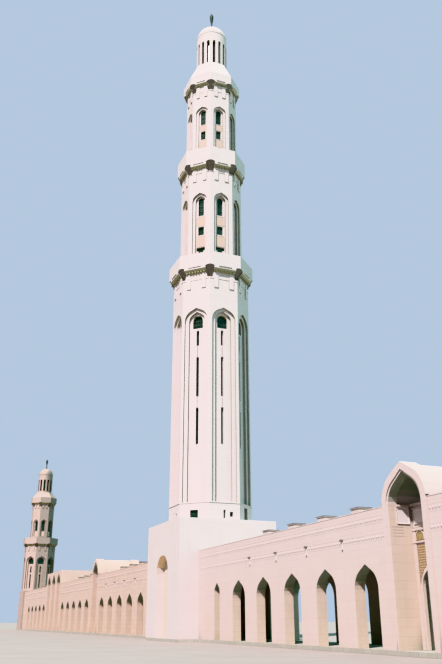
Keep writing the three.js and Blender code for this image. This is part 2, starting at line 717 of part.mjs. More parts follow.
function addGallery() {
  const wide = (bays, side) => atBays(bays, side).map(wideArch);
  const beside = NARROW_BAY * BAY;
  const near = [narrowArch(beside), ...wide(BAYS_IN_WING, 1)];
  const far = [...wide(BAYS_IN_WING, -1), narrowArch(-beside)];
  addWing('near_wing', BLOCK_HALF, nearWingEnd, near, atBays(BAYS_IN_WING, 1));
  addWing('end_wing', stubStart, stubEnd, wide(SECOND_WING_BAYS, 1), atBays(SECOND_WING_BAYS, 1));
  addWing('far_wing', -nearWingEnd, -BLOCK_HALF, far, atBays(BAYS_IN_WING, -1));
  addWing('second_wing', -farSecondEnd, -stubStart, wide(SECOND_WING_BAYS, -1), atBays(SECOND_WING_BAYS, -1));
  addWing('last_wing', cornerNear, -farLastStart, wide(LAST_WING_BAYS, -1), atBays(LAST_WING_BAYS, -1));
  const inner = GALLERY_HALF - GALLERY_WALL - SEAT_GAP;
  const partyTop = ROOF_TOP - ROOF_THICK - SEAT_GAP;
  const partyWall = box(stubEnd - GALLERY_WALL, stubEnd - SEAT_GAP, -inner, inner, WALL_FOOT, partyTop);
  addPiece('end_wing_party_wall', partyWall, STONE);
}

function addBlock() {
  addPiece('base_block', baseBlock(), TOWER_STONE);
  addPiece('base_block_roof', box(
    -BLOCK_HALF, BLOCK_HALF, -BLOCK_HALF, BLOCK_HALF, BLOCK_TOP - BLOCK_ROOF, BLOCK_TOP,
  ), TOWER_STONE);
}

// The plain octagonal foot of the tall shaft, with small windows and a door onto the roof
function plinth() {
  const tube = octagonPrism(SHAFT_ACROSS, BLOCK_TOP + SEAT_GAP, PLINTH_TOP - SEAT_GAP)
    .subtract(octagonPrism(SHAFT_ROOM, BLOCK_TOP - CUT_OVER, PLINTH_TOP + CUT_OVER));
  const cutter = ({ off = 0, half, foot, top }) => thickAlongX(
    rectShape(off, half, foot, top),
    SHAFT_ROOM / 2 - CUT_OVER,
    SHAFT_ACROSS / 2 + CUT_OVER,
  );
  const door = cutter({ ...PLINTH_DOOR, foot: BLOCK_TOP - CUT_OVER });
  return cutAll(tube, [
    ...roundFaces(cutter(PLINTH_WINDOW), PLINTH_WINDOW.faces),
    ...roundFaces(cutter(PLINTH_SLIT).add(cutter(PLINTH_VENT)), PLINTH_SLIT.faces),
    ...roundFaces(door, PLINTH_DOOR.faces),
  ]);
}

// The far end block under the small minaret: walls, roof and one arch from the gallery
function cornerBlock() {
  const half = CORNER_BLOCK_HALF;
  const walls = box(-half, half, -half, half, WALL_FOOT, CORNER_BLOCK_TOP);
  const room = box(
    -CORNER_ROOM_HALF, CORNER_ROOM_HALF, -CORNER_ROOM_HALF, CORNER_ROOM_HALF,
    0, CORNER_BLOCK_TOP - CORNER_ROOF,
  );
  const door = archShape(wideArch(0), 0);
  return cutAll(walls, [room, thickAlongX(door, 0, half + CUT_OVER)]);
}

addFloors();
addBlock();
addPiece('tall_minaret_plinth', plinth(), TOWER_STONE);
addMinaret('tall_minaret', 0, {
  stages: TALL_STAGES,
  balconies: TALL_BALCONIES,
  drum: TALL_DRUM,
  domeHeight: TALL_DOME_HEIGHT,
  tip: FINIAL_TIP,
  steps: TALL_ARC_STEPS,
});
addGallery();
addPortal('near_portal', portalX);
addPortal('far_portal', -portalX);
addTriplePortal('triple_portal', TRIPLE_BAYS, -farLastStart, -farSecondEnd);
addPiece('corner_block', moved(cornerBlock(), CORNER_X), TOWER_STONE);
addMinaret('small_minaret', CORNER_X, {
  stages: SMALL_STAGES,
  balconies: SMALL_BALCONIES,
  drum: SMALL_DRUM,
  domeHeight: SMALL_DOME_HEIGHT,
  tip: CORNER_TIP,
  steps: SMALL_ARC_STEPS,
});

export default mosque;
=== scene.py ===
"""The looks of a stone mosque front at 1:10: two minarets, a square block and an arcaded gallery."""
import json
import math

import bmesh
import bpy
from mathutils import Matrix, Vector


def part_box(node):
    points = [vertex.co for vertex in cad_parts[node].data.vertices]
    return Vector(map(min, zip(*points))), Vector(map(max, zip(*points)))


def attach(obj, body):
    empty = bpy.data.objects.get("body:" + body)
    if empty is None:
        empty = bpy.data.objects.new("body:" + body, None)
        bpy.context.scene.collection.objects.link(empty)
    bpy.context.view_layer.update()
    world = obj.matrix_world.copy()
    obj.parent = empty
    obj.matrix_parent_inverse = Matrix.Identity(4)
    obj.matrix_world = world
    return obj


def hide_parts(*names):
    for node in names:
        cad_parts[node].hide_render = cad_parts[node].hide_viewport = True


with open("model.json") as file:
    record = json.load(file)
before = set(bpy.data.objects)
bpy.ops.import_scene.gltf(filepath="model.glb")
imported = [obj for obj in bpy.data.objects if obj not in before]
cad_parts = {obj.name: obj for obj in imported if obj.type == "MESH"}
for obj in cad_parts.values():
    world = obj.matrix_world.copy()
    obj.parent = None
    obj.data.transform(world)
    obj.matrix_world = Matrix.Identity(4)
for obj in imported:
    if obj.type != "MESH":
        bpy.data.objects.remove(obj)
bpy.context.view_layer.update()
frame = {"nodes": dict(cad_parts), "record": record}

# One metre of the real building, in metres of the 1:10 model. Sizes below are real metres
METRE = 0.1
UP = Vector((0, 0, 1))
# Out of the outer walls, which face -Y
OUTWARD = Vector((0, -1, 0))

# Arches: the arc's radius as a share of the half width, for pointed and for round heads
ARCH_HAUNCH, ROUND_HAUNCH = 0.9, 1.0

# How far a fitting reaches into the stone behind it
SEAT = 0.02

# Gallery. A stud is a carved lozenge: how far apart, half its width as a share of that, how far it
# stands out, and the share of its foot that is left at its tip
BAY = 5.58
COPING_RISE, COPING_LIP = 0.05, 0.02
STUD_STEP, STUD_HALF, STUD_DEPTH, STUD_TIP = 0.31, 0.4, 0.03, 0.35
UPPER_FRIEZE = (8.36, 8.72)
LOWER_FRIEZE = (7.2, 7.55)
FILLET_HEIGHTS = (8.75, 8.3, 7.58, 7.14)
FILLET_SIZE = 0.008
SPOUT_HEIGHT = 7.62
SPOUT_PIERS = (3.5, 4.5, 5.5, 6.5)
SPOUT_REACH, SPOUT_HALF, SPOUT_TALL = 0.2, 0.12, 0.16
SPOUT_RIM, SPOUT_CHANNEL = 0.03, 0.1
SLAB_HALF, SLAB_THICK, SLAB_DROPS = 0.09, 0.1, (0.7, 0.17)
LIGHT_BAYS = {
    "near_wing": (3, 4, 5, 6, 7), "end_wing": (9, 10, 11, 12, 13), "far_wing": (-3, -4, -5, -6, -7),
    "second_wing": (-9, -10, -11, -12, -13), "last_wing": (-17, -18, -19, -20, -21),
}
LIGHT_LID_HALF, LIGHT_LID_LIFT, LIGHT_LID_RIM = 0.67, 0.02, 0.1

# Portals: where they stand along the gallery, half widths and heights
PORTAL_X = 7.94 * BAY
TRIPLE_PORTAL_BAYS = (14, 15, 16)
PORTAL_HALF, PORTAL_REACH = 2.43, 3.66
SCREEN_FACE = 1.75
SCREEN_HALF = 1.807
SCREEN_TOP = 9.3
DOOR_HALF, DOOR_SPRING, DOOR_APEX = 1.2, 4.1, 5.5
JAMB_HALF = 1.81
FLOOR = 0.32
PANEL_FOOT, PANEL_TOP = 8.08, 9.02
PANEL_OFFSETS, PANEL_HALF = (-1.03, 0.0, 1.03), 0.49
PANEL_OUT, PANEL_RIM, PANEL_SINK = 0.07, 0.08, 0.049
JAMB_PANEL, JAMB_PANEL_RIM = (-2.98, -2.0, PANEL_FOOT + 0.03, SCREEN_TOP - 0.1), 0.09
BLIND_HALF, BLIND_FOOT, BLIND_TOP = 0.42, 7.04, 7.62
BLIND_SPRING = BLIND_TOP - BLIND_HALF
BLIND_OFFSETS = (-1.06, 0.0, 1.06)
# Level mouldings, each as foot, top and how far it stands out
MOULDINGS = ((7.66, 7.8, 0.1), (6.86, 6.98, 0.1), (9.04, 9.14, 0.06), (SCREEN_TOP, SCREEN_TOP + 0.12, 0.14))
PILASTER_WIDE, PILASTER_OUT = 0.3, 0.06
# On the jambs, a ledge at the screen's top and thin ribs below it, with where they start and end
LEDGE_OUT, LEDGE_FRONT, LEDGE_FOOT, LEDGE_TOP = 0.14, -2.94, SCREEN_TOP - 0.08, SCREEN_TOP + 0.04
RIB_OUT, RIB_TALL, RIB_ENDS = 0.012, 0.04, (-3.4, -2.5)
RIB_HEIGHTS = (7.3, 7.5, 7.7, 7.9)
# Bands round the doorway and round the blind arches: how wide, and how far they stand out
DOOR_BAND, BLIND_BAND = (0.14, 0.08), (0.05, 0.07)
# The carved field, and the gap it leaves beside and over the doorway
FIELD_HALF, FIELD_FOOT, FIELD_TOP, FIELD_THICK = SCREEN_HALF - 0.32, 4.3, 6.74, 0.02
FIELD_GAP_SIDE, FIELD_GAP_TOP = 0.16, 0.18
LATTICE_TOP, LATTICE_STEP, LATTICE_ROWS, LATTICE_COLUMNS = 6.62, 0.16, 16, 9
LATTICE_HALF, LATTICE_EDGE, LATTICE_GAP = 0.065, SCREEN_HALF - 0.4, 0.28
GILT_THICK = 0.03
# Dark strips on a portal's flanks, from FLASHING_INNER out to the portal's front
FLASHING_INNER, FLASHING_THICK = 3.39, 0.03
FLASHING_FOOT, FLASHING_TOP = SCREEN_TOP + 0.02, SCREEN_TOP + 0.12

# Minarets. For each balcony: its centre, half the width of the stage, of the neck and of the parapet,
# where its flare starts and ends, the foot, place and width of the brackets that hang below it, and
# whether it has drip bars
CORNER_X = -130.5
FACES = 8
BRACKET_DEPTH = 0.12
BALCONIES = {
    "tall_minaret_balcony_1": dict(
        x=0.0, stage=4.6, neck=4.65, out=5.195, flare=(44.0, 44.45),
        hang=41.9, off=1.05, wide=0.58, drip=True),
    "tall_minaret_balcony_2": dict(
        x=0.0, stage=3.865, neck=3.925, out=4.435, flare=(60.3, 60.65),
        hang=58.4, off=0.75, wide=0.54, drip=True),
    "tall_minaret_balcony_3": dict(
        x=0.0, stage=3.33, neck=3.375, out=3.83, flare=(74.77, 75.05),
        hang=72.85, off=0.6, wide=0.5, drip=True),
    "small_minaret_balcony_1": dict(
        x=CORNER_X, stage=3.85, neck=3.875, out=4.4, flare=(21.3, 21.67),
        hang=19.9, off=0.8, wide=0.5, drip=False),
    "small_minaret_balcony_2": dict(
        x=CORNER_X, stage=2.8, neck=2.825, out=3.31, flare=(32.4, 32.78),
        hang=31.3, off=0.5, wide=0.4, drip=False),
}
# Drip bars: half their length as a share of half a side, reach, and foot and top above the flare
DRIP_SHARE, DRIP_REACH, DRIP_LIFTS = 0.42, 0.1, (0.25, 0.31)
# Dentils: how many on a side, the row's length as a share of half a side, half of one as a share of
# the step between them, and how far they reach and rise as a share of the flare
DENTILS, DENTIL_ROW, DENTIL_HALF, DENTIL_SHARE = 7, 1.3, 0.22, 0.6
DENTIL_SEAT, DENTIL_LIFT = 0.05, 0.02

# Storeys with windows: centre, back of the deeper recess, how far behind it the glass stands,
# round-headed windows, slits, and carved panels in the recess, each as half width, foot and top
STOREYS = {
    "tall_minaret_storey_1": dict(
        x=0.0, plane=4.0, set_back=0.4, windows=[(0.68, 36.6, 38.34)],
        slits=[(0.18, 34.3, 36.3), (0.18, 27.7, 32.8), (0.18, 21.8, 26.3)], panels=[]),
    "tall_minaret_storey_2": dict(
        x=0.0, plane=3.315, set_back=0.3, windows=[(0.4, 53.25, 56.0)],
        slits=[(0.42, 50.3, 51.6), (0.65, 47.95, 48.5), (0.38, 47.6, 47.96)],
        panels=[(0.62, 48.6, 50.15), (0.62, 51.75, 53.1)]),
    "tall_minaret_storey_3": dict(
        x=0.0, plane=2.85, set_back=0.28, windows=[(0.38, 68.4, 70.8)],
        slits=[(0.36, 65.9, 67.3), (0.58, 63.75, 64.5)],
        panels=[(0.54, 64.6, 65.8), (0.54, 67.45, 68.3)]),
    "small_minaret_storey_1": dict(
        x=CORNER_X, plane=3.3, set_back=0.35, windows=[(0.78, 16.5, 18.1)],
        slits=[(0.2, 14.3, 15.9), (0.2, 10.4, 13.85)], panels=[]),
    "small_minaret_storey_2": dict(
        x=CORNER_X, plane=2.35, set_back=0.25, windows=[(0.4, 25.25, 27.95)], slits=[],
        panels=[(0.44, 23.95, 25.1)]),
}
GLASS_THICK = 0.04
# Window bars. Upright ones: places as shares of the half width, distance from the glass's back,
# thickness and half width. Level ones: step, thickness and half height
BAR_PLACES, BAR_GAP, BAR_THICK, BAR_HALF = (-0.4, 0.0, 0.4), 0.08, 0.05, 0.02
LEVEL_BAR_STEP, LEVEL_BAR_THICK, LEVEL_BAR_HALF = 0.8, 0.04, 0.025
RECESS_PANEL_OUT, RECESS_PANEL_RIM, RECESS_PANEL_SINK = 0.04, 0.1, 0.03
# The shaft's octagonal foot: its face, and on which faces its openings are, each as its place
# along the face, half width, foot and top
PLINTH_FACE, PLINTH_SET_BACK = 4.6, 0.3
PLINTH_OPENINGS = (
    ((3, 5, 7), ((0.0, 0.5, 13.1, 14.0),)),
    ((0, 2, 4, 6), ((0.0, 0.14, 13.05, 14.0), (0.85, 0.2, 13.25, 13.8))),
)
PLINTH_COURSE, COURSE_OUT, COURSE_THICK = (14.78, 14.9), 0.06, 0.1
# Lanterns: centre, inner radius, the dome's wall, and the foot and top of the slits
LANTERNS = {
    "tall_minaret": dict(x=0.0, radius=1.82, wall=0.45, slits=(79.95, 84.2)),
    "small_minaret": dict(x=CORNER_X, radius=1.52, wall=0.4, slits=(36.2, 39.4)),
}
LANTERN_GLASS_GAP, LANTERN_GLASS_OVER = 0.06, 0.15
# Domes: the radius of the flat crown, and rows of carved lozenges as degrees up and how many
DOME_CROWN, DOME_STEPS = 0.3, 20
DOME_ROWS = ((10, 24), (26, 22), (42, 18), (57, 12))
LOZENGE_HALF, LOZENGE_TIP, LOZENGE_NARROW, LOZENGE_THICK = 0.2, 0.5, 0.7, 0.05
# A finial's profile: radius, and height as a share of the whole
FINIAL_PROFILE = (
    (0, 0), (0.28, 0), (0.24, 0.03), (0.17, 0.08), (0.13, 0.14), (0.11, 0.3), (0.13, 0.4), (0.19, 0.5),
    (0.245, 0.6), (0.275, 0.7), (0.28, 0.76), (0.265, 0.82), (0.2, 0.87), (0.11, 0.9), (0.08, 0.91),
    (0.1, 0.925), (0.05, 0.94), (0.03, 0.97), (0, 1.0))

# Camera: place in real metres, angles in degrees, lens in millimetres, and how far it sees
CAMERA_PLACE = Vector((85.472, -32.831, 2.074))
CAMERA_PITCH, CAMERA_YAW, CAMERA_ROLL = 21.19, 68.145, 0.141
CAMERA_LENS, CAMERA_SEES = 40.42, 200.0

# Light: angles in degrees. The fill's strength runs from low to high between the two bounds of
# how far a direction points at FILL_FROM
SUN_AZIMUTH, SUN_HEIGHT, SUN_SPREAD, SUN_STRENGTH = -47.0, 50.0, 1.5, 8.5
SUN_COLOUR = (1.0, 0.965, 0.93)
FILL_FROM, FILL_COLOUR = (0.17, 0.98, 0.0), (0.28, 0.58, 0.54, 1)
FILL_BOUNDS, FILL_STRENGTHS = (-0.3, 0.9), (0.35, 2.7)
BACKDROP_COLOUR = (0.50, 0.62, 0.78, 1)
FLOOR_REACH = 120.0


# Scene helpers

def real_box(node):
    """The lowest and highest corners of a CAD node, in real metres."""
    low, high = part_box(node)
    return low / METRE, high / METRE


def shape_box(bm, x0, x1, y0, y1, z0, z1):
    """Adds a box between bounds that may come in either order, and returns its vertices."""
    verts = bmesh.ops.create_cube(bm, size=1.0)["verts"]
    bmesh.ops.scale(bm, vec=(abs(x1 - x0), abs(y1 - y0), abs(z1 - z0)), verts=verts)
    bmesh.ops.translate(bm, vec=((x0 + x1) / 2, (y0 + y1) / 2, (z0 + z1) / 2), verts=verts)
    return verts


def geometry_of(verts):
    """The vertices with the edges and faces that lie wholly between them."""
    chosen = set(verts)
    edges = {edge for vert in verts for edge in vert.link_edges if set(edge.verts) <= chosen}
    faces = {face for vert in verts for face in vert.link_faces if set(face.verts) <= chosen}
    return list(chosen) + list(edges) + list(faces)


def faces_of(verts):
    return [item for item in geometry_of(verts) if isinstance(item, bmesh.types.BMFace)]


def verts_in(made):
    return [item for item in made["geom"] if isinstance(item, bmesh.types.BMVert)]


def sunk_box(bm, bounds, way, border, depth):
    """Adds a box with a rim round a sunk middle on the side that faces that way."""
    verts = shape_box(bm, *bounds)
    front = max(faces_of(verts), key=lambda side: side.calc_center_median().dot(way))
    rim = bmesh.ops.inset_region(bm, faces=[front], thickness=border)["faces"]
    bmesh.ops.translate(bm, vec=-depth * way, verts=list(front.verts))
    return list({vert for side in rim + [front] for vert in side.verts} | set(verts))


def grow_outline(bm, outline, move):
    """Adds a flat face round an outline of points and thickens it by a move; returns its vertices."""
    verts = [bm.verts.new(point) for point in outline]
    face = bm.faces.new(verts)
    grown = verts_in(bmesh.ops.extrude_face_region(bm, geom=[face]))
    bmesh.ops.translate(bm, vec=move, verts=grown)
    return verts + grown


def repeat_round(bm, geom, count, centre_x):
    """Copies geometry round a vertical axis so that there are count of it."""
    bmesh.ops.spin(
        bm, geom=geom, cent=(centre_x, 0, 0), axis=(0, 0, 1),
        angle=2 * math.pi * (count - 1) / count, steps=count - 1, use_duplicate=True)


def finish_piece(bm, name, material, smooth=False):
    """Turns a mesh in real metres into a named piece of the model that rides on its body."""
    bmesh.ops.recalc_face_normals(bm, faces=bm.faces)
    bmesh.ops.scale(bm, vec=(METRE, METRE, METRE), verts=bm.verts)
    mesh = bpy.data.meshes.new(name)
    bm.to_mesh(mesh)
    bm.free()
    for polygon in mesh.polygons:
        polygon.use_smooth = smooth
    mesh.materials.append(material)
    piece = bpy.data.objects.new(name, mesh)
    bpy.context.scene.collection.objects.link(piece)
    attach(piece, "root")
    return piece


def arch_points(half, spring, apex, haunch=ARCH_HAUNCH, steps=10):
    """Points of an arch from its right spring over the apex to its left spring.

    Each side is an arc that stands upright at the spring, and then a straight line to the apex.
    """
    rise = apex - spring
    radius = haunch * half
    inset = half - radius
    sweep = math.atan2(inset, rise) + math.asin(min(1.0, radius / math.hypot(rise, inset)))
    angles = [sweep * step / steps for step in range(steps + 1)]
    right = [(inset + radius * math.cos(angle), spring + radius * math.sin(angle)) for angle in angles]
    right = [(across, height) for across, height in right if across > 1e-6]
    left = [(-across, height) for across, height in reversed(right)]
    return right + [(0.0, apex)] + left


def arch_height(across, half, spring, apex):
    """How high a pointed arch stands at a distance from its middle."""
    points = arch_points(half, spring, apex)
    for (x0, z0), (x1, z1) in zip(points, points[1:]):
        if x1 <= across <= x0 and x0 > x1:
            return z0 + (z1 - z0) * (x0 - across) / (x0 - x1)
    return spring


def arched_sheet(bm, plane, half, foot, top, rounded):
    """A thin upright sheet of glass that faces +X, round-headed or square, grown from a plane."""
    head = arch_points(half, top - half, top, ROUND_HAUNCH, 6) if rounded else [(half, top), (-half, top)]
    outline = [(plane, y, z) for y, z in [(half, foot)] + head + [(-half, foot)]]
    return grow_outline(bm, outline, (GLASS_THICK, 0, 0))


# Materials

def new_material(name):
    material = bpy.data.materials.new(name)
    material.use_nodes = True
    tree = material.node_tree
    shader = tree.nodes["Principled BSDF"]
    return material, tree, shader


def add_node(tree, kind, **inputs):
    """Adds a node; inputs are socket numbers as s0, s1... or the node's own properties."""
    made = tree.nodes.new(kind)
    for key, value in inputs.items():
        if key[0] == "s" and key[1:].isdigit():
            socket = made.inputs[int(key[1:])]
            if isinstance(value, bpy.types.NodeSocket):
                tree.links.new(value, socket)
            else:
                socket.default_value = value
        else:
            setattr(made, key, value)
    return made


def maths(tree, operation, a, b=0.0):
    return add_node(tree, "ShaderNodeMath", operation=operation, s0=a, s1=b).outputs[0]


def tinted(tree, mask, colour, tint):
    """The colour multiplied by a tint as far as the mask goes."""
    return mix_colour(tree, "MULTIPLY", mask, colour, tint)


def remap(tree, value, low, high, to_low=0.0, to_high=1.0):
    return add_node(
        tree, "ShaderNodeMapRange", s0=value, s1=low, s2=high, s3=to_low, s4=to_high).outputs[0]


def mix_colour(tree, blend, factor, a, b):
    made = add_node(tree, "ShaderNodeMix", data_type="RGBA", blend_type=blend)
    for socket, value in ((made.inputs[0], factor), (made.inputs[6], a), (made.inputs[7], b)):
        if isinstance(value, bpy.types.NodeSocket):
            tree.links.new(value, socket)
        else:
            socket.default_value = value
    return made.outputs[2]


def noise(tree, vector, scale, detail, roughness=0.55):
    made = add_node(tree, "ShaderNodeTexNoise", s0=vector)
    made.inputs["Scale"].default_value = scale
    made.inputs["Detail"].default_value = detail
    made.inputs["Roughness"].default_value = roughness
    return made.outputs["Fac"]


def bump(tree, height, strength, depth, before=None, invert=False):
    """A bump of a real depth in metres, on top of an earlier one."""
    made = add_node(tree, "ShaderNodeBump", invert=invert)
    made.inputs["Strength"].default_value = strength
    made.inputs["Distance"].default_value = depth * METRE
    tree.links.new(height, made.inputs["Height"])
    if before:
        tree.links.new(before, made.inputs["Normal"])
    return made.outputs[0]


def wall_coordinates(tree):
    """Real metres: the place, its parts, the way the wall faces, and how far along the wall it lies."""
    source = tree.nodes.new("ShaderNodeTexCoord")
    place = add_node(tree, "ShaderNodeVectorMath", operation="SCALE", s0=source.outputs["Object"])
    place.inputs[3].default_value = 1 / METRE
    at = add_node(tree, "ShaderNodeSeparateXYZ", s0=place.outputs[0]).outputs
    facing = add_node(tree, "ShaderNodeSeparateXYZ", s0=source.outputs["Normal"]).outputs
    across = maths(tree, "MULTIPLY", at[0], maths(tree, "MULTIPLY", facing[1], -1.0))
    along = maths(tree, "ADD", across, maths(tree, "MULTIPLY", at[1], facing[0]))
    return place.outputs[0], at, facing, along


COURSE, JOINT_WIDE = 0.56, 0.018
LINE_EVERY, LINE_SHARE = 2 * COURSE, 0.2
# How strongly the blotches, the rain streaks and the grain show
BLOTCH_SHARE, STREAK_SHARE, GRAIN_SHARE = 0.35, 0.4, 0.5
# The jambs' front edge, how far round a point stone makes it a hollow with painted shade, and the niches'
# backs
RIM_FRONT = 3.58
SHADED_HOLLOW_REACH = 2.0
NICHE_BACK = 5.4

# Tints that multiply the stone's colour. The line, blotch and streak tints are the stone's own, the ground
# tint makes it warmer towards the bottom, and the rest are painted light and shade
LINE_TINT = (0.84, 0.78, 0.75, 1)
BLOTCH_TINT = (0.90, 0.88, 0.86, 1)
STREAK_TINT = (0.84, 0.80, 0.76, 1)
# Painted shade on the sides of openings turned away from the sun
TURNED_AWAY_SHADE_TINT = (0.46, 0.68, 0.60, 1)
GROUND_TINT = (1.0, 0.99, 0.95, 1)
# Painted shade in deep hollows
DEEP_SHADE_TINT = (0.22, 0.36, 0.28, 1)
# Painted shade on faces turned in towards the middle
INWARD_SHADE_TINT = (0.50, 0.56, 0.48, 1)
# Painted shade in the balconies' corner notches
NOTCH_SHADE_TINT = (0.50, 0.45, 0.58, 1)
# Painted olive shade on undersides
SOFFIT_SHADE_TINT = (0.62, 0.72, 0.46, 1)
# Painted reflected light on the block's undersides, its niche heads most of all
NICHE_HEAD_LIGHT_TINT = (1.60, 1.40, 0.88, 1)
# Painted warm shade on the backs of the block's niches
NICHE_BACK_SHADE_TINT = (1.0, 0.97, 0.84, 1)
# Painted shade on the gallery's undersides and vaults
VAULT_SHADE_TINT = (0.45, 0.64, 0.50, 1)
# Painted warm shade on the jambs of the openings, near and far
JAMB_WARM_SHADE_TINT = (0.94, 0.91, 0.80, 1)
FAR_JAMB_WARM_SHADE_TINT = (0.97, 0.92, 0.88, 1)
# Painted shade on the small minaret's side away from the sun
SHADE_SIDE_TINT = (0.42, 0.50, 0.47, 1)

# Stones: two tones of block and the joint's
TOWER_STONES = ((0.585, 0.505, 0.525, 1), (0.57, 0.49, 0.505, 1), (0.54, 0.46, 0.475, 1))
GALLERY_STONES = ((0.57, 0.46, 0.465, 1), (0.55, 0.44, 0.44, 1), (0.52, 0.41, 0.41, 1))
FAR_STONES = ((0.545, 0.41, 0.375, 1), (0.515, 0.38, 0.345, 1), (0.48, 0.34, 0.30, 1))
BEIGE_STONES = ((0.43, 0.315, 0.295, 1), (0.40, 0.295, 0.275, 1), (0.37, 0.27, 0.25, 1))
PAVING_STONES = ((0.38, 0.35, 0.32, 1), (0.35, 0.32, 0.29, 1), (0.22, 0.20, 0.18, 1))


def coursed_stone(tree, along, height, upright, stones, block, course):
    """Blocks in courses with a fine line at every second course: their colour, and the joints alone."""
    light, dark, joint = stones
    flat = add_node(tree, "ShaderNodeCombineXYZ", s0=along, s1=height).outputs[0]
    bricks = add_node(tree, "ShaderNodeTexBrick", s0=flat, s1=light, s2=dark, s3=joint)
    for socket, value in (
            ("Scale", 1.0), ("Mortar Size", JOINT_WIDE), ("Mortar Smooth", 0.4), ("Bias", 0.0),
            ("Brick Width", block), ("Row Height", course)):
        bricks.inputs[socket].default_value = value
    level = maths(tree, "FRACT", maths(tree, "DIVIDE", height, LINE_EVERY))
    line = maths(tree, "MULTIPLY", remap(tree, level, 0.045, 0.03), upright)
    line = maths(tree, "MULTIPLY", line, LINE_SHARE)
    return tinted(tree, line, bricks.outputs["Color"], LINE_TINT), bricks.outputs["Fac"]


def weathered(tree, colour, place, along, height, grain):
    """A colour with large blotches, upright rain streaks and a fine grain."""
    blotch = remap(tree, noise(tree, place, 0.35, 6.0), 0.35, 0.7)
    colour = tinted(tree, maths(tree, "MULTIPLY", blotch, BLOTCH_SHARE), colour, BLOTCH_TINT)
    streak_at = add_node(
        tree, "ShaderNodeCombineXYZ", s0=maths(tree, "MULTIPLY", along, 2.2),
        s1=maths(tree, "MULTIPLY", height, 0.16)).outputs[0]
    streak = remap(tree, noise(tree, streak_at, 1.0, 4.0), 0.56, 0.78)
    colour = tinted(tree, maths(tree, "MULTIPLY", streak, STREAK_SHARE), colour, STREAK_TINT)
    tone = add_node(
        tree, "ShaderNodeCombineColor", s0=remap(tree, grain, 0.3, 0.7, 0.93, 1.0),
        s1=remap(tree, grain, 0.3, 0.7, 0.92, 1.0), s2=remap(tree, grain, 0.3, 0.7, 0.91, 1.0)).outputs[0]
    return tinted(tree, GRAIN_SHARE, colour, tone)


def shaded_openings(tree, colour, at, facing, side_shade_tint):
    """A colour with painted shade: warm on the sides of the openings, darker on the sides turned away from
    the sun, and darker in deep hollows; it is also a little darker near the ground.
    """
    # Painted warm shade on the jambs, below the screen's top and within the openings
    sideways = remap(tree, maths(tree, "ABSOLUTE", facing[0]), 0.8, 0.98)
    low = remap(tree, at[2], SCREEN_TOP + 0.05, SCREEN_TOP - 0.05)
    within = remap(tree, maths(tree, "ABSOLUTE", at[1]), RIM_FRONT + 0.02, RIM_FRONT - 0.02)
    inside = maths(tree, "MULTIPLY", low, within)
    colour = tinted(tree, maths(tree, "MULTIPLY", sideways, inside), colour, side_shade_tint)
    # Painted shade on the sides that face -X, away from the sun
    turned = remap(tree, facing[0], -0.8, -0.98)
    colour = tinted(tree, maths(tree, "MULTIPLY", turned, inside), colour, TURNED_AWAY_SHADE_TINT)
    colour = tinted(tree, remap(tree, at[2], 7.0, 2.0), colour, GROUND_TINT)
    # Painted shade: darker where the stone is closed in, as in recesses and under arches
    hollow_shade = add_node(tree, "ShaderNodeAmbientOcclusion", samples=8)
    hollow_shade.inputs["Distance"].default_value = SHADED_HOLLOW_REACH * METRE
    return tinted(tree, remap(tree, hollow_shade.outputs["AO"], 0.55, 0.2), colour, DEEP_SHADE_TINT)


def shaded_undersides(tree, colour, at, facing, under_light_and_shade_tint):
    """A colour with painted shade on faces turned inwards, on undersides and in the balconies' notches."""
    # Painted shade on faces turned in towards the middle
    inward = remap(tree, maths(tree, "MULTIPLY", at[1], facing[1]), -0.2, -0.6)
    colour = tinted(tree, inward, colour, INWARD_SHADE_TINT)
    # Painted shade on undersides, and on the block painted reflected light
    under = remap(tree, facing[2], -0.1, -0.5)
    colour = tinted(tree, under, colour, under_light_and_shade_tint)
    # Painted shade on undersides that face the octagons' corners
    turn = maths(tree, "MULTIPLY", maths(tree, "ARCTAN2", facing[1], facing[0]), float(FACES))
    notch = maths(tree, "MULTIPLY", remap(tree, maths(tree, "COSINE", turn), -0.3, -0.8), under)
    return tinted(tree, notch, colour, NOTCH_SHADE_TINT)


def stone_material(name, stones, block, under_light_and_shade_tint, side_shade_tint=None, course=COURSE):
    """Honed stone in courses: joints, tone from block to block, blotches, rain streaks and grain, with
    painted shade and light by how each face is turned and placed.
    """
    material, tree, shader = new_material(name)
    place, at, facing, along = wall_coordinates(tree)
    upright = remap(tree, maths(tree, "ABSOLUTE", facing[2]), 0.3, 0.1)
    grain = noise(tree, place, 9.0, 8.0, 0.65)
    colour, joints = coursed_stone(tree, along, at[2], upright, stones, block, course)
    colour = weathered(tree, colour, place, along, at[2], grain)
    if side_shade_tint:
        colour = shaded_openings(tree, colour, at, facing, side_shade_tint)
    colour = shaded_undersides(tree, colour, at, facing, under_light_and_shade_tint)
    tree.links.new(colour, shader.inputs["Base Color"])
    tree.links.new(remap(tree, grain, 0.3, 0.7, 0.62, 0.82), shader.inputs["Roughness"])
    shader.inputs["Specular IOR Level"].default_value = 0.35
    cut = bump(tree, joints, 0.3, 0.01, invert=True)
    tree.links.new(bump(tree, grain, 0.25, 0.01, before=cut), shader.inputs["Normal"])
    return material


def plain_material(name, light, dark, scale, rough, metallic=0.0):
    """A plain finish whose tone, roughness and surface wander a little."""
    material, tree, shader = new_material(name)
    place = wall_coordinates(tree)[0]
    wander = noise(tree, place, scale, 7.0, 0.6)
    colour = mix_colour(tree, "MIX", remap(tree, wander, 0.35, 0.65), light, dark)
    tree.links.new(colour, shader.inputs["Base Color"])
    tree.links.new(remap(tree, wander, 0.3, 0.7, rough, rough + 0.18), shader.inputs["Roughness"])
    shader.inputs["Metallic"].default_value = metallic
    tree.links.new(bump(tree, wander, 0.2, 0.01), shader.inputs["Normal"])
    return material


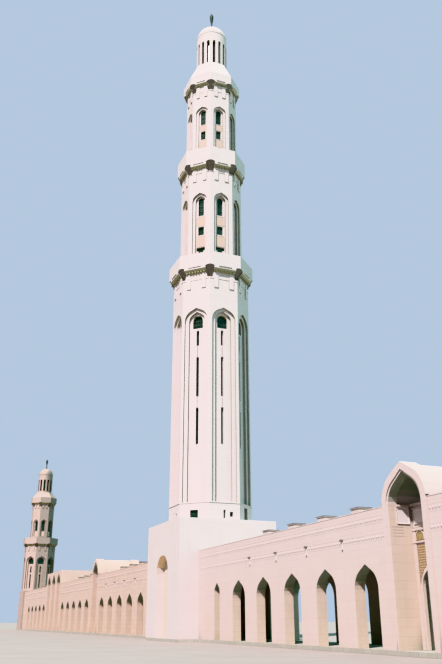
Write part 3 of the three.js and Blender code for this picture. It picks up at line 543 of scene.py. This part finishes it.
def tint_where(material, mask_of, tint):
    """Multiplies a finished stone's colour by a tint where a mask of the place and facing is 1."""
    tree = material.node_tree
    base = tree.nodes["Principled BSDF"].inputs["Base Color"]
    plain = base.links[0].from_socket
    tree.links.new(tinted(tree, mask_of(tree), plain, tint), base)


def niche_back(tree):
    """The backs of the square block's niches, which lie well behind its faces."""
    _, at, facing, _ = wall_coordinates(tree)
    behind = remap(tree, maths(tree, "ABSOLUTE", at[1]), NICHE_BACK + 0.05, NICHE_BACK - 0.05)
    upright = remap(tree, maths(tree, "ABSOLUTE", facing[1]), 0.8, 0.95)
    return maths(tree, "MULTIPLY", behind, upright)


def shaded_side(tree):
    """The side that faces between +X and +Y, and in part the two beside it: painted shade, darker stone on
    the side away from the sun.
    """
    _, _, facing, _ = wall_coordinates(tree)
    return remap(tree, maths(tree, "ADD", facing[0], facing[1]), 0.7, 1.3)


TOWER = stone_material("tower_ivory_stone", TOWER_STONES, 1.4, SOFFIT_SHADE_TINT)
# The block's undersides get painted reflected light
BLOCK = stone_material("block_ivory_stone", TOWER_STONES, 1.4, NICHE_HEAD_LIGHT_TINT)
GALLERY = stone_material("gallery_pink_stone", GALLERY_STONES, 1.3, VAULT_SHADE_TINT, side_shade_tint=JAMB_WARM_SHADE_TINT)
FAR_GALLERY = stone_material("far_gallery_rose_stone", FAR_STONES, 1.3, VAULT_SHADE_TINT, side_shade_tint=FAR_JAMB_WARM_SHADE_TINT)
BEIGE = stone_material("far_tower_beige_stone", BEIGE_STONES, 1.4, SOFFIT_SHADE_TINT)
# Painted warm shade on the backs of the block's niches
tint_where(BLOCK, niche_back, NICHE_BACK_SHADE_TINT)
# Painted shade on the small minaret's side away from the sun
tint_where(BEIGE, shaded_side, SHADE_SIDE_TINT)
PAVING = stone_material("paving_slabs", PAVING_STONES, 0.9, SOFFIT_SHADE_TINT, course=0.9)
CARVED = plain_material("carved_trim_stone", (0.53, 0.42, 0.41, 1), (0.47, 0.36, 0.33, 1), 3.0, 0.6)
# The recess panels' darker, warmer tone is painted shade of the recesses
PANEL = plain_material("carved_recess_panel", (0.50, 0.375, 0.33, 1), (0.46, 0.33, 0.28, 1), 5.0, 0.6)
WHITE = plain_material("white_panel_marble", (0.58, 0.50, 0.51, 1), (0.53, 0.45, 0.46, 1), 1.4, 0.35)
GOLD = plain_material("gilt_tile", (0.38, 0.28, 0.14, 1), (0.22, 0.17, 0.08, 1), 6.0, 0.4, 0.3)
FIELD = plain_material("carved_field_stone", (0.20, 0.13, 0.075, 1), (0.30, 0.20, 0.12, 1), 5.0, 0.6)
LATTICE = plain_material("carved_lattice_stone", (0.39, 0.27, 0.17, 1), (0.31, 0.21, 0.13, 1), 5.0, 0.6)
# The dentils' dark olive colour is painted shade
DENTIL = plain_material("painted_shade_dentil_stone", (0.20, 0.19, 0.10, 1), (0.27, 0.25, 0.14, 1), 4.0, 0.7)
BRONZE = plain_material("dark_bronze", (0.012, 0.02, 0.016, 1), (0.03, 0.04, 0.028, 1), 6.0, 0.5, 0.5)
BAR = plain_material("window_bar_metal", (0.05, 0.10, 0.08, 1), (0.03, 0.06, 0.05, 1), 8.0, 0.45, 0.4)
# The glass's near-black colour is painted shade of the unlit inside
GLASS = plain_material("painted_shade_window_glass", (0.010, 0.022, 0.014, 1), (0.018, 0.034, 0.022, 1), 2.0, 0.15)
LID = plain_material("roof_light_lid", (0.075, 0.05, 0.045, 1), (0.05, 0.035, 0.03, 1), 3.0, 0.5, 0.3)
SPOUT = plain_material("spout_stone", (0.16, 0.13, 0.12, 1), (0.10, 0.085, 0.08, 1), 5.0, 0.6)

SLOT_MATERIALS = {"tower_stone": TOWER, "gallery_stone": GALLERY, "paving_stone": PAVING, "bronze": BRONZE}
FAR_PIECES = ("far_wing", "far_portal", "second_wing", "triple_portal", "last_wing")


def stone_for(node, slot):
    """The far end of the gallery is of a rosier stone, and the small minaret of a beige one."""
    if slot == "gallery_stone" and node.startswith(FAR_PIECES):
        return FAR_GALLERY
    if slot == "tower_stone" and node.startswith(("small_minaret", "corner_block")):
        return BEIGE
    if node == "base_block":
        return BLOCK
    return SLOT_MATERIALS[slot]


for part in frame["record"]["subparts"]:
    cad = frame["nodes"][part["node"]]
    stone = stone_for(part["node"], part["material_slot"])
    if cad.material_slots:
        cad.material_slots[0].material = stone
    else:
        cad.data.materials.append(stone)


# Gallery trim

def wing_walls(wing):
    """Each wall of a wing: its two ends, its face, the way it faces, its inner face and its top."""
    for side, sign in (("outer_wall", -1), ("court_wall", 1)):
        low, high = real_box(f"{wing}_{side}")
        face = low.y if sign < 0 else high.y
        back = high.y if sign < 0 else low.y
        yield low.x, high.x, face, sign, back, high.z


def add_coping(wing):
    """The thin cap along each parapet."""
    bm = bmesh.new()
    for x0, x1, face, sign, back, top in wing_walls(wing):
        outer, inner = face + sign * COPING_LIP, back - sign * COPING_LIP
        shape_box(bm, x0, x1, outer, inner, top, top + COPING_RISE)
    finish_piece(bm, f"{wing}_coping", stone_for(wing, "gallery_stone"))


def add_fillets(wing):
    """The thin raised lines that frame the two carved bands."""
    bm = bmesh.new()
    for x0, x1, face, sign, _, _ in wing_walls(wing):
        for height in FILLET_HEIGHTS:
            shape_box(bm, x0, x1, face, face + sign * FILLET_SIZE, height, height + FILLET_SIZE)
    finish_piece(bm, f"{wing}_fillets", stone_for(wing, "gallery_stone"))


def add_stud(bm, x, face, sign, foot, top, half):
    """One carved lozenge that stands out of a wall facing -Y or +Y."""
    verts = bmesh.ops.create_cone(
        bm, cap_ends=True, segments=4, radius1=1.0, radius2=STUD_TIP, depth=1.0)["verts"]
    bmesh.ops.scale(bm, vec=(half, (top - foot) / 2, STUD_DEPTH), verts=verts)
    turn = Matrix.Rotation(math.radians(90 if sign < 0 else -90), 3, "X")
    bmesh.ops.rotate(bm, cent=(0, 0, 0), matrix=turn, verts=verts)
    middle = (x, face + sign * STUD_DEPTH / 2, (foot + top) / 2)
    bmesh.ops.translate(bm, vec=middle, verts=verts)


def add_frieze(wing):
    """Two carved bands of lozenges below the parapet, on both walls."""
    bm = bmesh.new()
    for x0, x1, face, sign, _, _ in wing_walls(wing):
        count = int((x1 - x0) / STUD_STEP)
        step = (x1 - x0) / count
        for index in range(count):
            x = x0 + (index + 0.5) * step
            for foot, top in (UPPER_FRIEZE, LOWER_FRIEZE):
                add_stud(bm, x, face, sign, foot, top, STUD_HALF * step)
    finish_piece(bm, f"{wing}_frieze", stone_for(wing, "gallery_stone"))


def add_spout(bm, x, face, sign):
    """A short rain spout with a channel along its top."""
    bounds = (
        x - SPOUT_HALF, x + SPOUT_HALF, face - sign * SEAT, face + sign * SPOUT_REACH,
        SPOUT_HEIGHT - SPOUT_TALL, SPOUT_HEIGHT)
    sunk_box(bm, bounds, UP, SPOUT_RIM, SPOUT_CHANNEL)


def add_spouts():
    """Rain spouts over the piers of the two wings beside the block, each on a pale splash slab."""
    spouts, slabs = bmesh.new(), bmesh.new()
    face = real_box("near_wing_outer_wall")[0].y
    foot, top = (SPOUT_HEIGHT - drop for drop in SLAB_DROPS)
    for pier in SPOUT_PIERS:
        for x in (pier * BAY, -pier * BAY):
            for sign in (-1, 1):
                plane = -sign * face
                add_spout(spouts, x, plane, sign)
                shape_box(slabs, x - SLAB_HALF, x + SLAB_HALF, plane, plane + sign * SLAB_THICK, foot, top)
    finish_piece(spouts, "gallery_spouts", SPOUT)
    finish_piece(slabs, "gallery_spout_slabs", WHITE)


def add_roof_lights(wing):
    """The thin dark lids over the roof lights, each a rim round a sunk pane."""
    bm = bmesh.new()
    top = real_box(f"{wing}_roof")[1].z
    half, lift = LIGHT_LID_HALF, LIGHT_LID_LIFT
    for bay in LIGHT_BAYS[wing]:
        x = bay * BAY
        sunk_box(bm, (x - half, x + half, -half, half, top - lift, top + lift), UP, LIGHT_LID_RIM, lift)
    finish_piece(bm, f"{wing}_roof_light_lids", LID)


for wing in LIGHT_BAYS:
    add_coping(wing)
    add_fillets(wing)
    add_frieze(wing)
    add_roof_lights(wing)
add_spouts()


# Portals

def arch_band(bm, x, half, foot, spring, apex, band, haunch=ARCH_HAUNCH):
    """A flat band round an arched opening of a portal screen, standing out of its face."""
    wide, out = band
    points = [(half, foot)] + arch_points(half, spring, apex, haunch) + [(-half, foot)]
    grown = half + wide
    outer = [(grown, foot)] + arch_points(grown, spring, apex + wide, haunch) + [(-grown, foot)]
    inside = [bm.verts.new((x + px, -SCREEN_FACE, pz)) for px, pz in points]
    outside = [bm.verts.new((x + px, -SCREEN_FACE, pz)) for px, pz in outer]
    edges = [bm.edges.new(pair) for ring in (inside, outside) for pair in zip(ring, ring[1:])]
    faces = bmesh.ops.bridge_loops(bm, edges=edges)["faces"]
    front = verts_in(bmesh.ops.extrude_face_region(bm, geom=faces))
    bmesh.ops.translate(bm, vec=(0, -out, 0), verts=front)


def inside_door(px, pz, margin):
    """Whether a point of the screen lies within the doorway or its band."""
    across = abs(px)
    if across > DOOR_HALF + margin:
        return False
    return pz < arch_height(across, DOOR_HALF + margin, DOOR_SPRING, DOOR_APEX + margin)


def add_screen_stone(name, x):
    """Mouldings, pilasters, door band and ledges of one portal screen."""
    bm = bmesh.new()
    face = -SCREEN_FACE
    for z0, z1, out in MOULDINGS:
        shape_box(bm, x - SCREEN_HALF, x + SCREEN_HALF, face - out, face, z0, z1)
    for side in (-1, 1):
        edge, jamb = x + side * SCREEN_HALF, x + side * JAMB_HALF
        pilaster = edge - side * PILASTER_WIDE
        shape_box(bm, edge, pilaster, face - PILASTER_OUT, face, FLOOR, MOULDINGS[0][0])
        shape_box(bm, jamb, jamb - side * LEDGE_OUT, LEDGE_FRONT, face, LEDGE_FOOT, LEDGE_TOP)
        for z in RIB_HEIGHTS:
            shape_box(bm, jamb, jamb - side * RIB_OUT, *RIB_ENDS, z, z + RIB_TALL)
    arch_band(bm, x, DOOR_HALF, FLOOR, DOOR_SPRING, DOOR_APEX, DOOR_BAND)
    for offset in BLIND_OFFSETS:
        arch_band(bm, x + offset, BLIND_HALF, BLIND_FOOT, BLIND_SPRING, BLIND_TOP, BLIND_BAND, ROUND_HAUNCH)
    finish_piece(bm, f"{name}_mouldings", CARVED)


def add_screen_field(name, x):
    """The brown ground of the carved field over the doorway."""
    bm = bmesh.new()
    door = arch_points(DOOR_HALF + FIELD_GAP_SIDE, FIELD_FOOT, DOOR_APEX + FIELD_GAP_TOP)
    left = [(-FIELD_HALF, FIELD_FOOT), (-FIELD_HALF, FIELD_TOP)]
    right = [(FIELD_HALF, FIELD_TOP), (FIELD_HALF, FIELD_FOOT)]
    outline = [(x + px, -SCREEN_FACE, pz) for px, pz in left + right + door]
    grow_outline(bm, outline, (0, -FIELD_THICK, 0))
    finish_piece(bm, f"{name}_field", FIELD)


def add_screen_lattice(name, x):
    """The raised lozenges of the carved field over the doorway."""
    bm = bmesh.new()
    face, half = -SCREEN_FACE - FIELD_THICK, LATTICE_HALF
    for row in range(LATTICE_ROWS):
        pz = LATTICE_TOP - row * LATTICE_STEP
        for column in range(-LATTICE_COLUMNS, LATTICE_COLUMNS + 1):
            px = (column + 0.5 * (row % 2)) * LATTICE_STEP
            if abs(px) < LATTICE_EDGE and not inside_door(px, pz, LATTICE_GAP):
                add_stud(bm, x + px, face, -1, pz - half, pz + half, half)
    finish_piece(bm, f"{name}_lattice", LATTICE)


def add_screen_panels(name, x):
    """White framed panels along the top of a portal's screen and of its jambs."""
    bm = bmesh.new()
    face = -SCREEN_FACE
    for offset in PANEL_OFFSETS:
        x0, x1 = x + offset - PANEL_HALF, x + offset + PANEL_HALF
        bounds = (x0, x1, face - PANEL_OUT, face, PANEL_FOOT, PANEL_TOP)
        sunk_box(bm, bounds, OUTWARD, PANEL_RIM, PANEL_SINK)
    for side in (-1, 1):
        jamb = x + side * JAMB_HALF
        bounds = (jamb, jamb - side * PANEL_OUT, *JAMB_PANEL)
        sunk_box(bm, bounds, Vector((-side, 0, 0)), JAMB_PANEL_RIM, PANEL_SINK)
    finish_piece(bm, f"{name}_panels", WHITE)


def add_blind_arches(name, x):
    """Gilt round-headed fields between the mouldings of a screen."""
    bm = bmesh.new()
    head = arch_points(BLIND_HALF, BLIND_SPRING, BLIND_TOP, ROUND_HAUNCH)
    for offset in BLIND_OFFSETS:
        middle = x + offset
        field = [(BLIND_HALF, BLIND_FOOT)] + head + [(-BLIND_HALF, BLIND_FOOT)]
        grow_outline(bm, [(middle + px, -SCREEN_FACE, pz) for px, pz in field], (0, -GILT_THICK, 0))
    finish_piece(bm, f"{name}_gilt_fields", GOLD)


SCREENS = {"near_portal": PORTAL_X, "far_portal": -PORTAL_X}
for number, bay in enumerate(TRIPLE_PORTAL_BAYS, 1):
    SCREENS[f"triple_portal_{number}"] = -bay * BAY
for portal, centre in SCREENS.items():
    add_screen_stone(portal, centre)
    add_screen_field(portal, centre)
    add_screen_lattice(portal, centre)
    add_screen_panels(portal, centre)
    add_blind_arches(portal, centre)


def add_flashings():
    """Short dark strips where the parapets meet the flanks of the two single portals."""
    bm = bmesh.new()
    for centre in (PORTAL_X, -PORTAL_X):
        for side in (-1, 1):
            flank = centre + side * PORTAL_HALF
            for y0, y1 in ((-PORTAL_REACH, -FLASHING_INNER), (FLASHING_INNER, PORTAL_REACH)):
                shape_box(bm, flank, flank + side * FLASHING_THICK, y0, y1, FLASHING_FOOT, FLASHING_TOP)
    finish_piece(bm, "portal_flashings", LID)


add_flashings()


# Minarets

def octagon_ring(bm, x, across, z0, z1, thick):
    """An upright octagonal band of that width across its flats, with its faces along X and Y."""
    radius = across / 2 / math.cos(math.pi / FACES)
    verts = bmesh.ops.create_cone(
        bm, cap_ends=False, segments=FACES, radius1=radius, radius2=radius, depth=z1 - z0)["verts"]
    bmesh.ops.rotate(bm, cent=(0, 0, 0), matrix=Matrix.Rotation(math.pi / FACES, 3, "Z"), verts=verts)
    bmesh.ops.translate(bm, vec=(x, 0, (z0 + z1) / 2), verts=verts)
    bmesh.ops.solidify(bm, geom=faces_of(verts), thickness=thick)


def add_balcony_trim(node, spec):
    """Flat brackets below a balcony's flare and, where it has one, a thin drip bar on each side."""
    bm = bmesh.new()
    x, out = spec["x"], spec["out"]
    foot, top = spec["flare"]
    made = []
    if spec["drip"]:
        half = DRIP_SHARE * (out * math.tan(math.pi / FACES))
        z0, z1 = (top + lift for lift in DRIP_LIFTS)
        made += shape_box(bm, x + out - SEAT, x + out + DRIP_REACH, -half, half, z0, z1)
    for sign in (-1, 1):
        y0, y1 = (sign * spec["off"] + end * spec["wide"] / 2 for end in (-1, 1))
        plane = x + spec["stage"]
        made += shape_box(bm, plane - SEAT, plane + BRACKET_DEPTH, y0, y1, spec["hang"], foot)
    repeat_round(bm, geometry_of(made), FACES, x)
    finish_piece(bm, f"{node}_trim", stone_for(node, "tower_stone"))


def add_dentils(node, spec):
    """Small blocks in a row under the flare of a balcony, on every side; their dark olive colour is painted
    shade.
    """
    bm = bmesh.new()
    x, neck, out = spec["x"], spec["neck"], spec["out"]
    foot, top = spec["flare"]
    step = DENTIL_ROW * out * math.tan(math.pi / FACES) / DENTILS
    back, front = x + neck - DENTIL_SEAT, x + neck + DENTIL_SHARE * (out - neck)
    low, high = foot + DENTIL_LIFT, foot + DENTIL_SHARE * (top - foot)
    half = DENTIL_HALF * step
    made = []
    for index in range(DENTILS):
        y = (index - (DENTILS - 1) / 2) * step
        made += shape_box(bm, back, front, y - half, y + half, low, high)
    repeat_round(bm, geometry_of(made), FACES, x)
    finish_piece(bm, f"{node}_dentils", DENTIL)


def add_glazing(name, spec):
    """Dark glass set back in the windows and slits of one storey; its near-black colour is painted shade of
    the unlit inside.
    """
    bm = bmesh.new()
    plane = spec["x"] + spec["plane"] - spec["set_back"]
    made = []
    for half, foot, top in spec["windows"]:
        made += arched_sheet(bm, plane, half, foot, top, rounded=True)
    for half, foot, top in spec["slits"]:
        made += arched_sheet(bm, plane, half, foot, top, rounded=False)
    repeat_round(bm, geometry_of(made), FACES, spec["x"])
    finish_piece(bm, f"{name}_glass", GLASS)


def add_bars(name, spec):
    """Upright and level bars in front of the glass of one storey's windows."""
    bm = bmesh.new()
    x = spec["x"] + spec["plane"] - spec["set_back"] + BAR_GAP
    front = x + BAR_THICK
    made = []
    for half, foot, top in spec["windows"]:
        for share in BAR_PLACES:
            rise = math.sqrt(1 - share * share) * half
            y = share * half
            made += shape_box(bm, x, front, y - BAR_HALF, y + BAR_HALF, foot, top - half + rise)
        rows = max(1, round((top - foot) / LEVEL_BAR_STEP))
        for row in range(1, rows + 1):
            z = foot + (top - half - foot) * row / rows
            low, high = z - LEVEL_BAR_HALF, z + LEVEL_BAR_HALF
            made += shape_box(bm, front, front + LEVEL_BAR_THICK, -half, half, low, high)
    repeat_round(bm, geometry_of(made), FACES, spec["x"])
    finish_piece(bm, f"{name}_bars", BAR)


def add_recess_panels(name, spec):
    """Carved panels between the openings of one storey's recesses; their darker, warmer tone than the
    tower's stone is painted shade of the recess.
    """
    bm = bmesh.new()
    x = spec["x"] + spec["plane"]
    made = []
    for half, foot, top in spec["panels"]:
        bounds = (x - SEAT, x + RECESS_PANEL_OUT, -half, half, foot, top)
        made += sunk_box(bm, bounds, Vector((1, 0, 0)), RECESS_PANEL_RIM, RECESS_PANEL_SINK)
    repeat_round(bm, geometry_of(made), FACES, spec["x"])
    finish_piece(bm, f"{name}_panels", PANEL)


def add_lantern_glass(minaret, spec):
    """A ring of dark glass behind the slits of a lantern; its near-black colour is painted shade of the
    unlit inside.
    """
    bm = bmesh.new()
    foot, top = spec["slits"][0] - LANTERN_GLASS_OVER, spec["slits"][1] + LANTERN_GLASS_OVER
    radius = spec["radius"] - LANTERN_GLASS_GAP
    verts = bmesh.ops.create_cone(
        bm, cap_ends=False, segments=48, radius1=radius, radius2=radius, depth=top - foot)["verts"]
    bmesh.ops.translate(bm, vec=(spec["x"], 0, (foot + top) / 2), verts=verts)
    bmesh.ops.solidify(bm, geom=faces_of(verts), thickness=GLASS_THICK)
    finish_piece(bm, f"{minaret}_lantern_glass", GLASS)


def spun(bm, x, profile, steps=64):
    """Turns a profile of radius and height about an upright axis."""
    verts = [bm.verts.new((x + radius, 0, z)) for radius, z in profile]
    edges = [bm.edges.new(pair) for pair in zip(verts, verts[1:])]
    bmesh.ops.spin(
        bm, geom=verts + edges, cent=(x, 0, 0), axis=(0, 0, 1), angle=2 * math.pi, steps=steps,
        use_merge=True)
    bmesh.ops.remove_doubles(bm, verts=bm.verts, dist=1e-5)


def add_dome(node, spec):
    """A smooth hollow dome in place of the faceted one."""
    low, high = real_box(node)
    wall = spec["wall"]
    radius = (high.x - low.x) / 2
    sweep = math.acos(DOME_CROWN / radius)
    height = (high.z - low.z) / math.sin(sweep)
    angles = [sweep * step / DOME_STEPS for step in range(DOME_STEPS + 1)]
    outer = [(radius * math.cos(angle), low.z + height * math.sin(angle)) for angle in angles]
    thin, sink = (radius - wall) / radius, (height - wall) / height
    inner = [(across * thin, low.z + (z - low.z) * sink) for across, z in outer]
    bm = bmesh.new()
    spun(bm, spec["x"], [(0, inner[-1][1])] + inner[::-1] + outer + [(0, high.z)])
    piece = finish_piece(bm, f"{node}_shell", stone_for(node, "tower_stone"), smooth=True)
    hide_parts(node)


def add_dome_carving(node, spec, material):
    """Rows of small flat lozenges carved on a dome."""
    bm = bmesh.new()
    low, high = real_box(node)
    radius = (high.x - low.x) / 2
    height = high.z - low.z
    tip = LOZENGE_TIP * LOZENGE_HALF
    for row, (degrees, count) in enumerate(DOME_ROWS):
        rise = math.radians(degrees)
        for index in range(count):
            angle = 2 * math.pi * (index + 0.5 * (row % 2)) / count
            level = math.cos(rise)
            out = Vector((math.cos(angle) * level, math.sin(angle) * level, math.sin(rise)))
            verts = bmesh.ops.create_cone(
                bm, cap_ends=True, segments=4, radius1=LOZENGE_HALF, radius2=tip,
                depth=LOZENGE_THICK)["verts"]
            bmesh.ops.scale(bm, vec=(LOZENGE_NARROW, 1.0, 1.0), verts=verts)
            bmesh.ops.rotate(bm, cent=(0, 0, 0), matrix=out.to_track_quat("Z", "Y").to_matrix(), verts=verts)
            place = (spec["x"] + radius * out.x, radius * out.y, low.z + height * out.z)
            bmesh.ops.translate(bm, vec=place, verts=verts)
    finish_piece(bm, f"{node}_carving", material)


def add_finial(node, x):
    """A turned bronze finial: a cone foot, a thin stem, a long bulb high up and a spike."""
    low, high = real_box(node)
    tall = high.z - low.z
    bm = bmesh.new()
    spun(bm, x, [(radius, low.z + share * tall) for radius, share in FINIAL_PROFILE], steps=32)
    piece = finish_piece(bm, f"{node}_turned", BRONZE, smooth=True)
    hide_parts(node)


for node, spec in BALCONIES.items():
    add_balcony_trim(node, spec)
    add_dentils(node, spec)
for name, spec in STOREYS.items():
    add_glazing(name, spec)
    add_bars(name, spec)
    if spec["panels"]:
        add_recess_panels(name, spec)
for minaret, spec in LANTERNS.items():
    add_lantern_glass(minaret, spec)
    add_dome(f"{minaret}_dome", spec)
    add_finial(f"{minaret}_finial", spec["x"])
add_dome_carving("tall_minaret_dome", LANTERNS["tall_minaret"], TOWER)
add_dome_carving("small_minaret_dome", LANTERNS["small_minaret"], SPOUT)


def add_plinth_course():
    """The thin course at the top of the shaft's octagonal foot."""
    bm = bmesh.new()
    octagon_ring(bm, 0.0, 2 * (PLINTH_FACE + COURSE_OUT), *PLINTH_COURSE, COURSE_THICK)
    finish_piece(bm, "tall_minaret_plinth_course", TOWER)


def add_plinth_glass():
    """Dark glass in the small openings of the shaft's octagonal foot; its near-black colour is painted shade
    of the unlit inside.
    """
    bm = bmesh.new()
    plane = PLINTH_FACE - PLINTH_SET_BACK
    for faces, openings in PLINTH_OPENINGS:
        for face in faces:
            made = []
            for off, half, foot, top in openings:
                made += shape_box(bm, plane, plane + GLASS_THICK, off - half, off + half, foot, top)
            turn = Matrix.Rotation(2 * math.pi * face / FACES, 3, "Z")
            bmesh.ops.rotate(bm, cent=(0, 0, 0), matrix=turn, verts=made)
    finish_piece(bm, "tall_minaret_plinth_glass", GLASS)


add_plinth_course()
add_plinth_glass()


# Camera, light and floor

def add_camera():
    """A camera at the photograph's place and angle, rolled a little as it is."""
    pitch, yaw, roll = (math.radians(v) for v in (CAMERA_PITCH, CAMERA_YAW, CAMERA_ROLL))
    ahead = Vector((-math.sin(yaw), math.cos(yaw), 0))
    right = Vector((math.cos(yaw), math.sin(yaw), 0))
    forward = ahead * math.cos(pitch) + UP * math.sin(pitch)
    upright = UP * math.cos(pitch) - ahead * math.sin(pitch)
    axis_x = right * math.cos(roll) - upright * math.sin(roll)
    axis_y = right * math.sin(roll) + upright * math.cos(roll)
    turn = Matrix((axis_x, axis_y, -forward)).transposed().to_4x4()
    data = bpy.data.cameras.new("view")
    data.lens = CAMERA_LENS
    data.clip_end = CAMERA_SEES
    camera = bpy.data.objects.new("view", data)
    camera.matrix_world = Matrix.Translation(CAMERA_PLACE * METRE) @ turn
    bpy.context.scene.collection.objects.link(camera)
    bpy.context.scene.camera = camera


def add_sun():
    """The warm key light, with soft-edged shadows."""
    azimuth, height = math.radians(SUN_AZIMUTH), math.radians(SUN_HEIGHT)
    towards = Vector((
        math.cos(azimuth) * math.cos(height), math.sin(azimuth) * math.cos(height), math.sin(height)))
    data = bpy.data.lights.new("key_light", "SUN")
    data.energy = SUN_STRENGTH
    data.angle = math.radians(SUN_SPREAD)
    data.color = SUN_COLOUR
    lamp = bpy.data.objects.new("key_light", data)
    lamp.matrix_world = towards.to_track_quat("Z", "Y").to_matrix().to_4x4()
    bpy.context.scene.collection.objects.link(lamp)


def add_world():
    """A pale backdrop; the light from it is cooler, and stronger from the courtyard side."""
    world = bpy.data.worlds.new("studio")
    world.use_nodes = True
    bpy.context.scene.world = world
    tree = world.node_tree
    output = tree.nodes["World Output"]
    fill = tree.nodes["Background"]
    fill.inputs[0].default_value = FILL_COLOUR
    source = tree.nodes.new("ShaderNodeTexCoord")
    towards = add_node(tree, "ShaderNodeVectorMath", operation="DOT_PRODUCT", s0=source.outputs["Generated"])
    towards.inputs[1].default_value = FILL_FROM
    strength = remap(tree, towards.outputs["Value"], *FILL_BOUNDS, *FILL_STRENGTHS)
    tree.links.new(strength, fill.inputs[1])
    backdrop = tree.nodes.new("ShaderNodeBackground")
    backdrop.inputs[0].default_value = BACKDROP_COLOUR
    path = tree.nodes.new("ShaderNodeLightPath")
    chosen = tree.nodes.new("ShaderNodeMixShader")
    tree.links.new(path.outputs["Is Camera Ray"], chosen.inputs[0])
    tree.links.new(fill.outputs[0], chosen.inputs[1])
    tree.links.new(backdrop.outputs[0], chosen.inputs[2])
    tree.links.new(chosen.outputs[0], output.inputs[0])


def add_floor():
    """The plain pale floor under the building."""
    bm = bmesh.new()
    bmesh.ops.create_grid(bm, x_segments=1, y_segments=1, size=FLOOR_REACH)
    mesh = bpy.data.meshes.new("floor")
    bm.to_mesh(mesh)
    bm.free()
    pale = plain_material("pale_floor", (0.30, 0.25, 0.245, 1), (0.28, 0.23, 0.225, 1), 0.2, 0.8)
    mesh.materials.append(pale)
    floor = bpy.data.objects.new("floor", mesh)
    bpy.context.scene.collection.objects.link(floor)


add_camera()
add_sun()
add_world()
add_floor()
bpy.context.scene.view_settings.view_transform = "Khronos PBR Neutral"
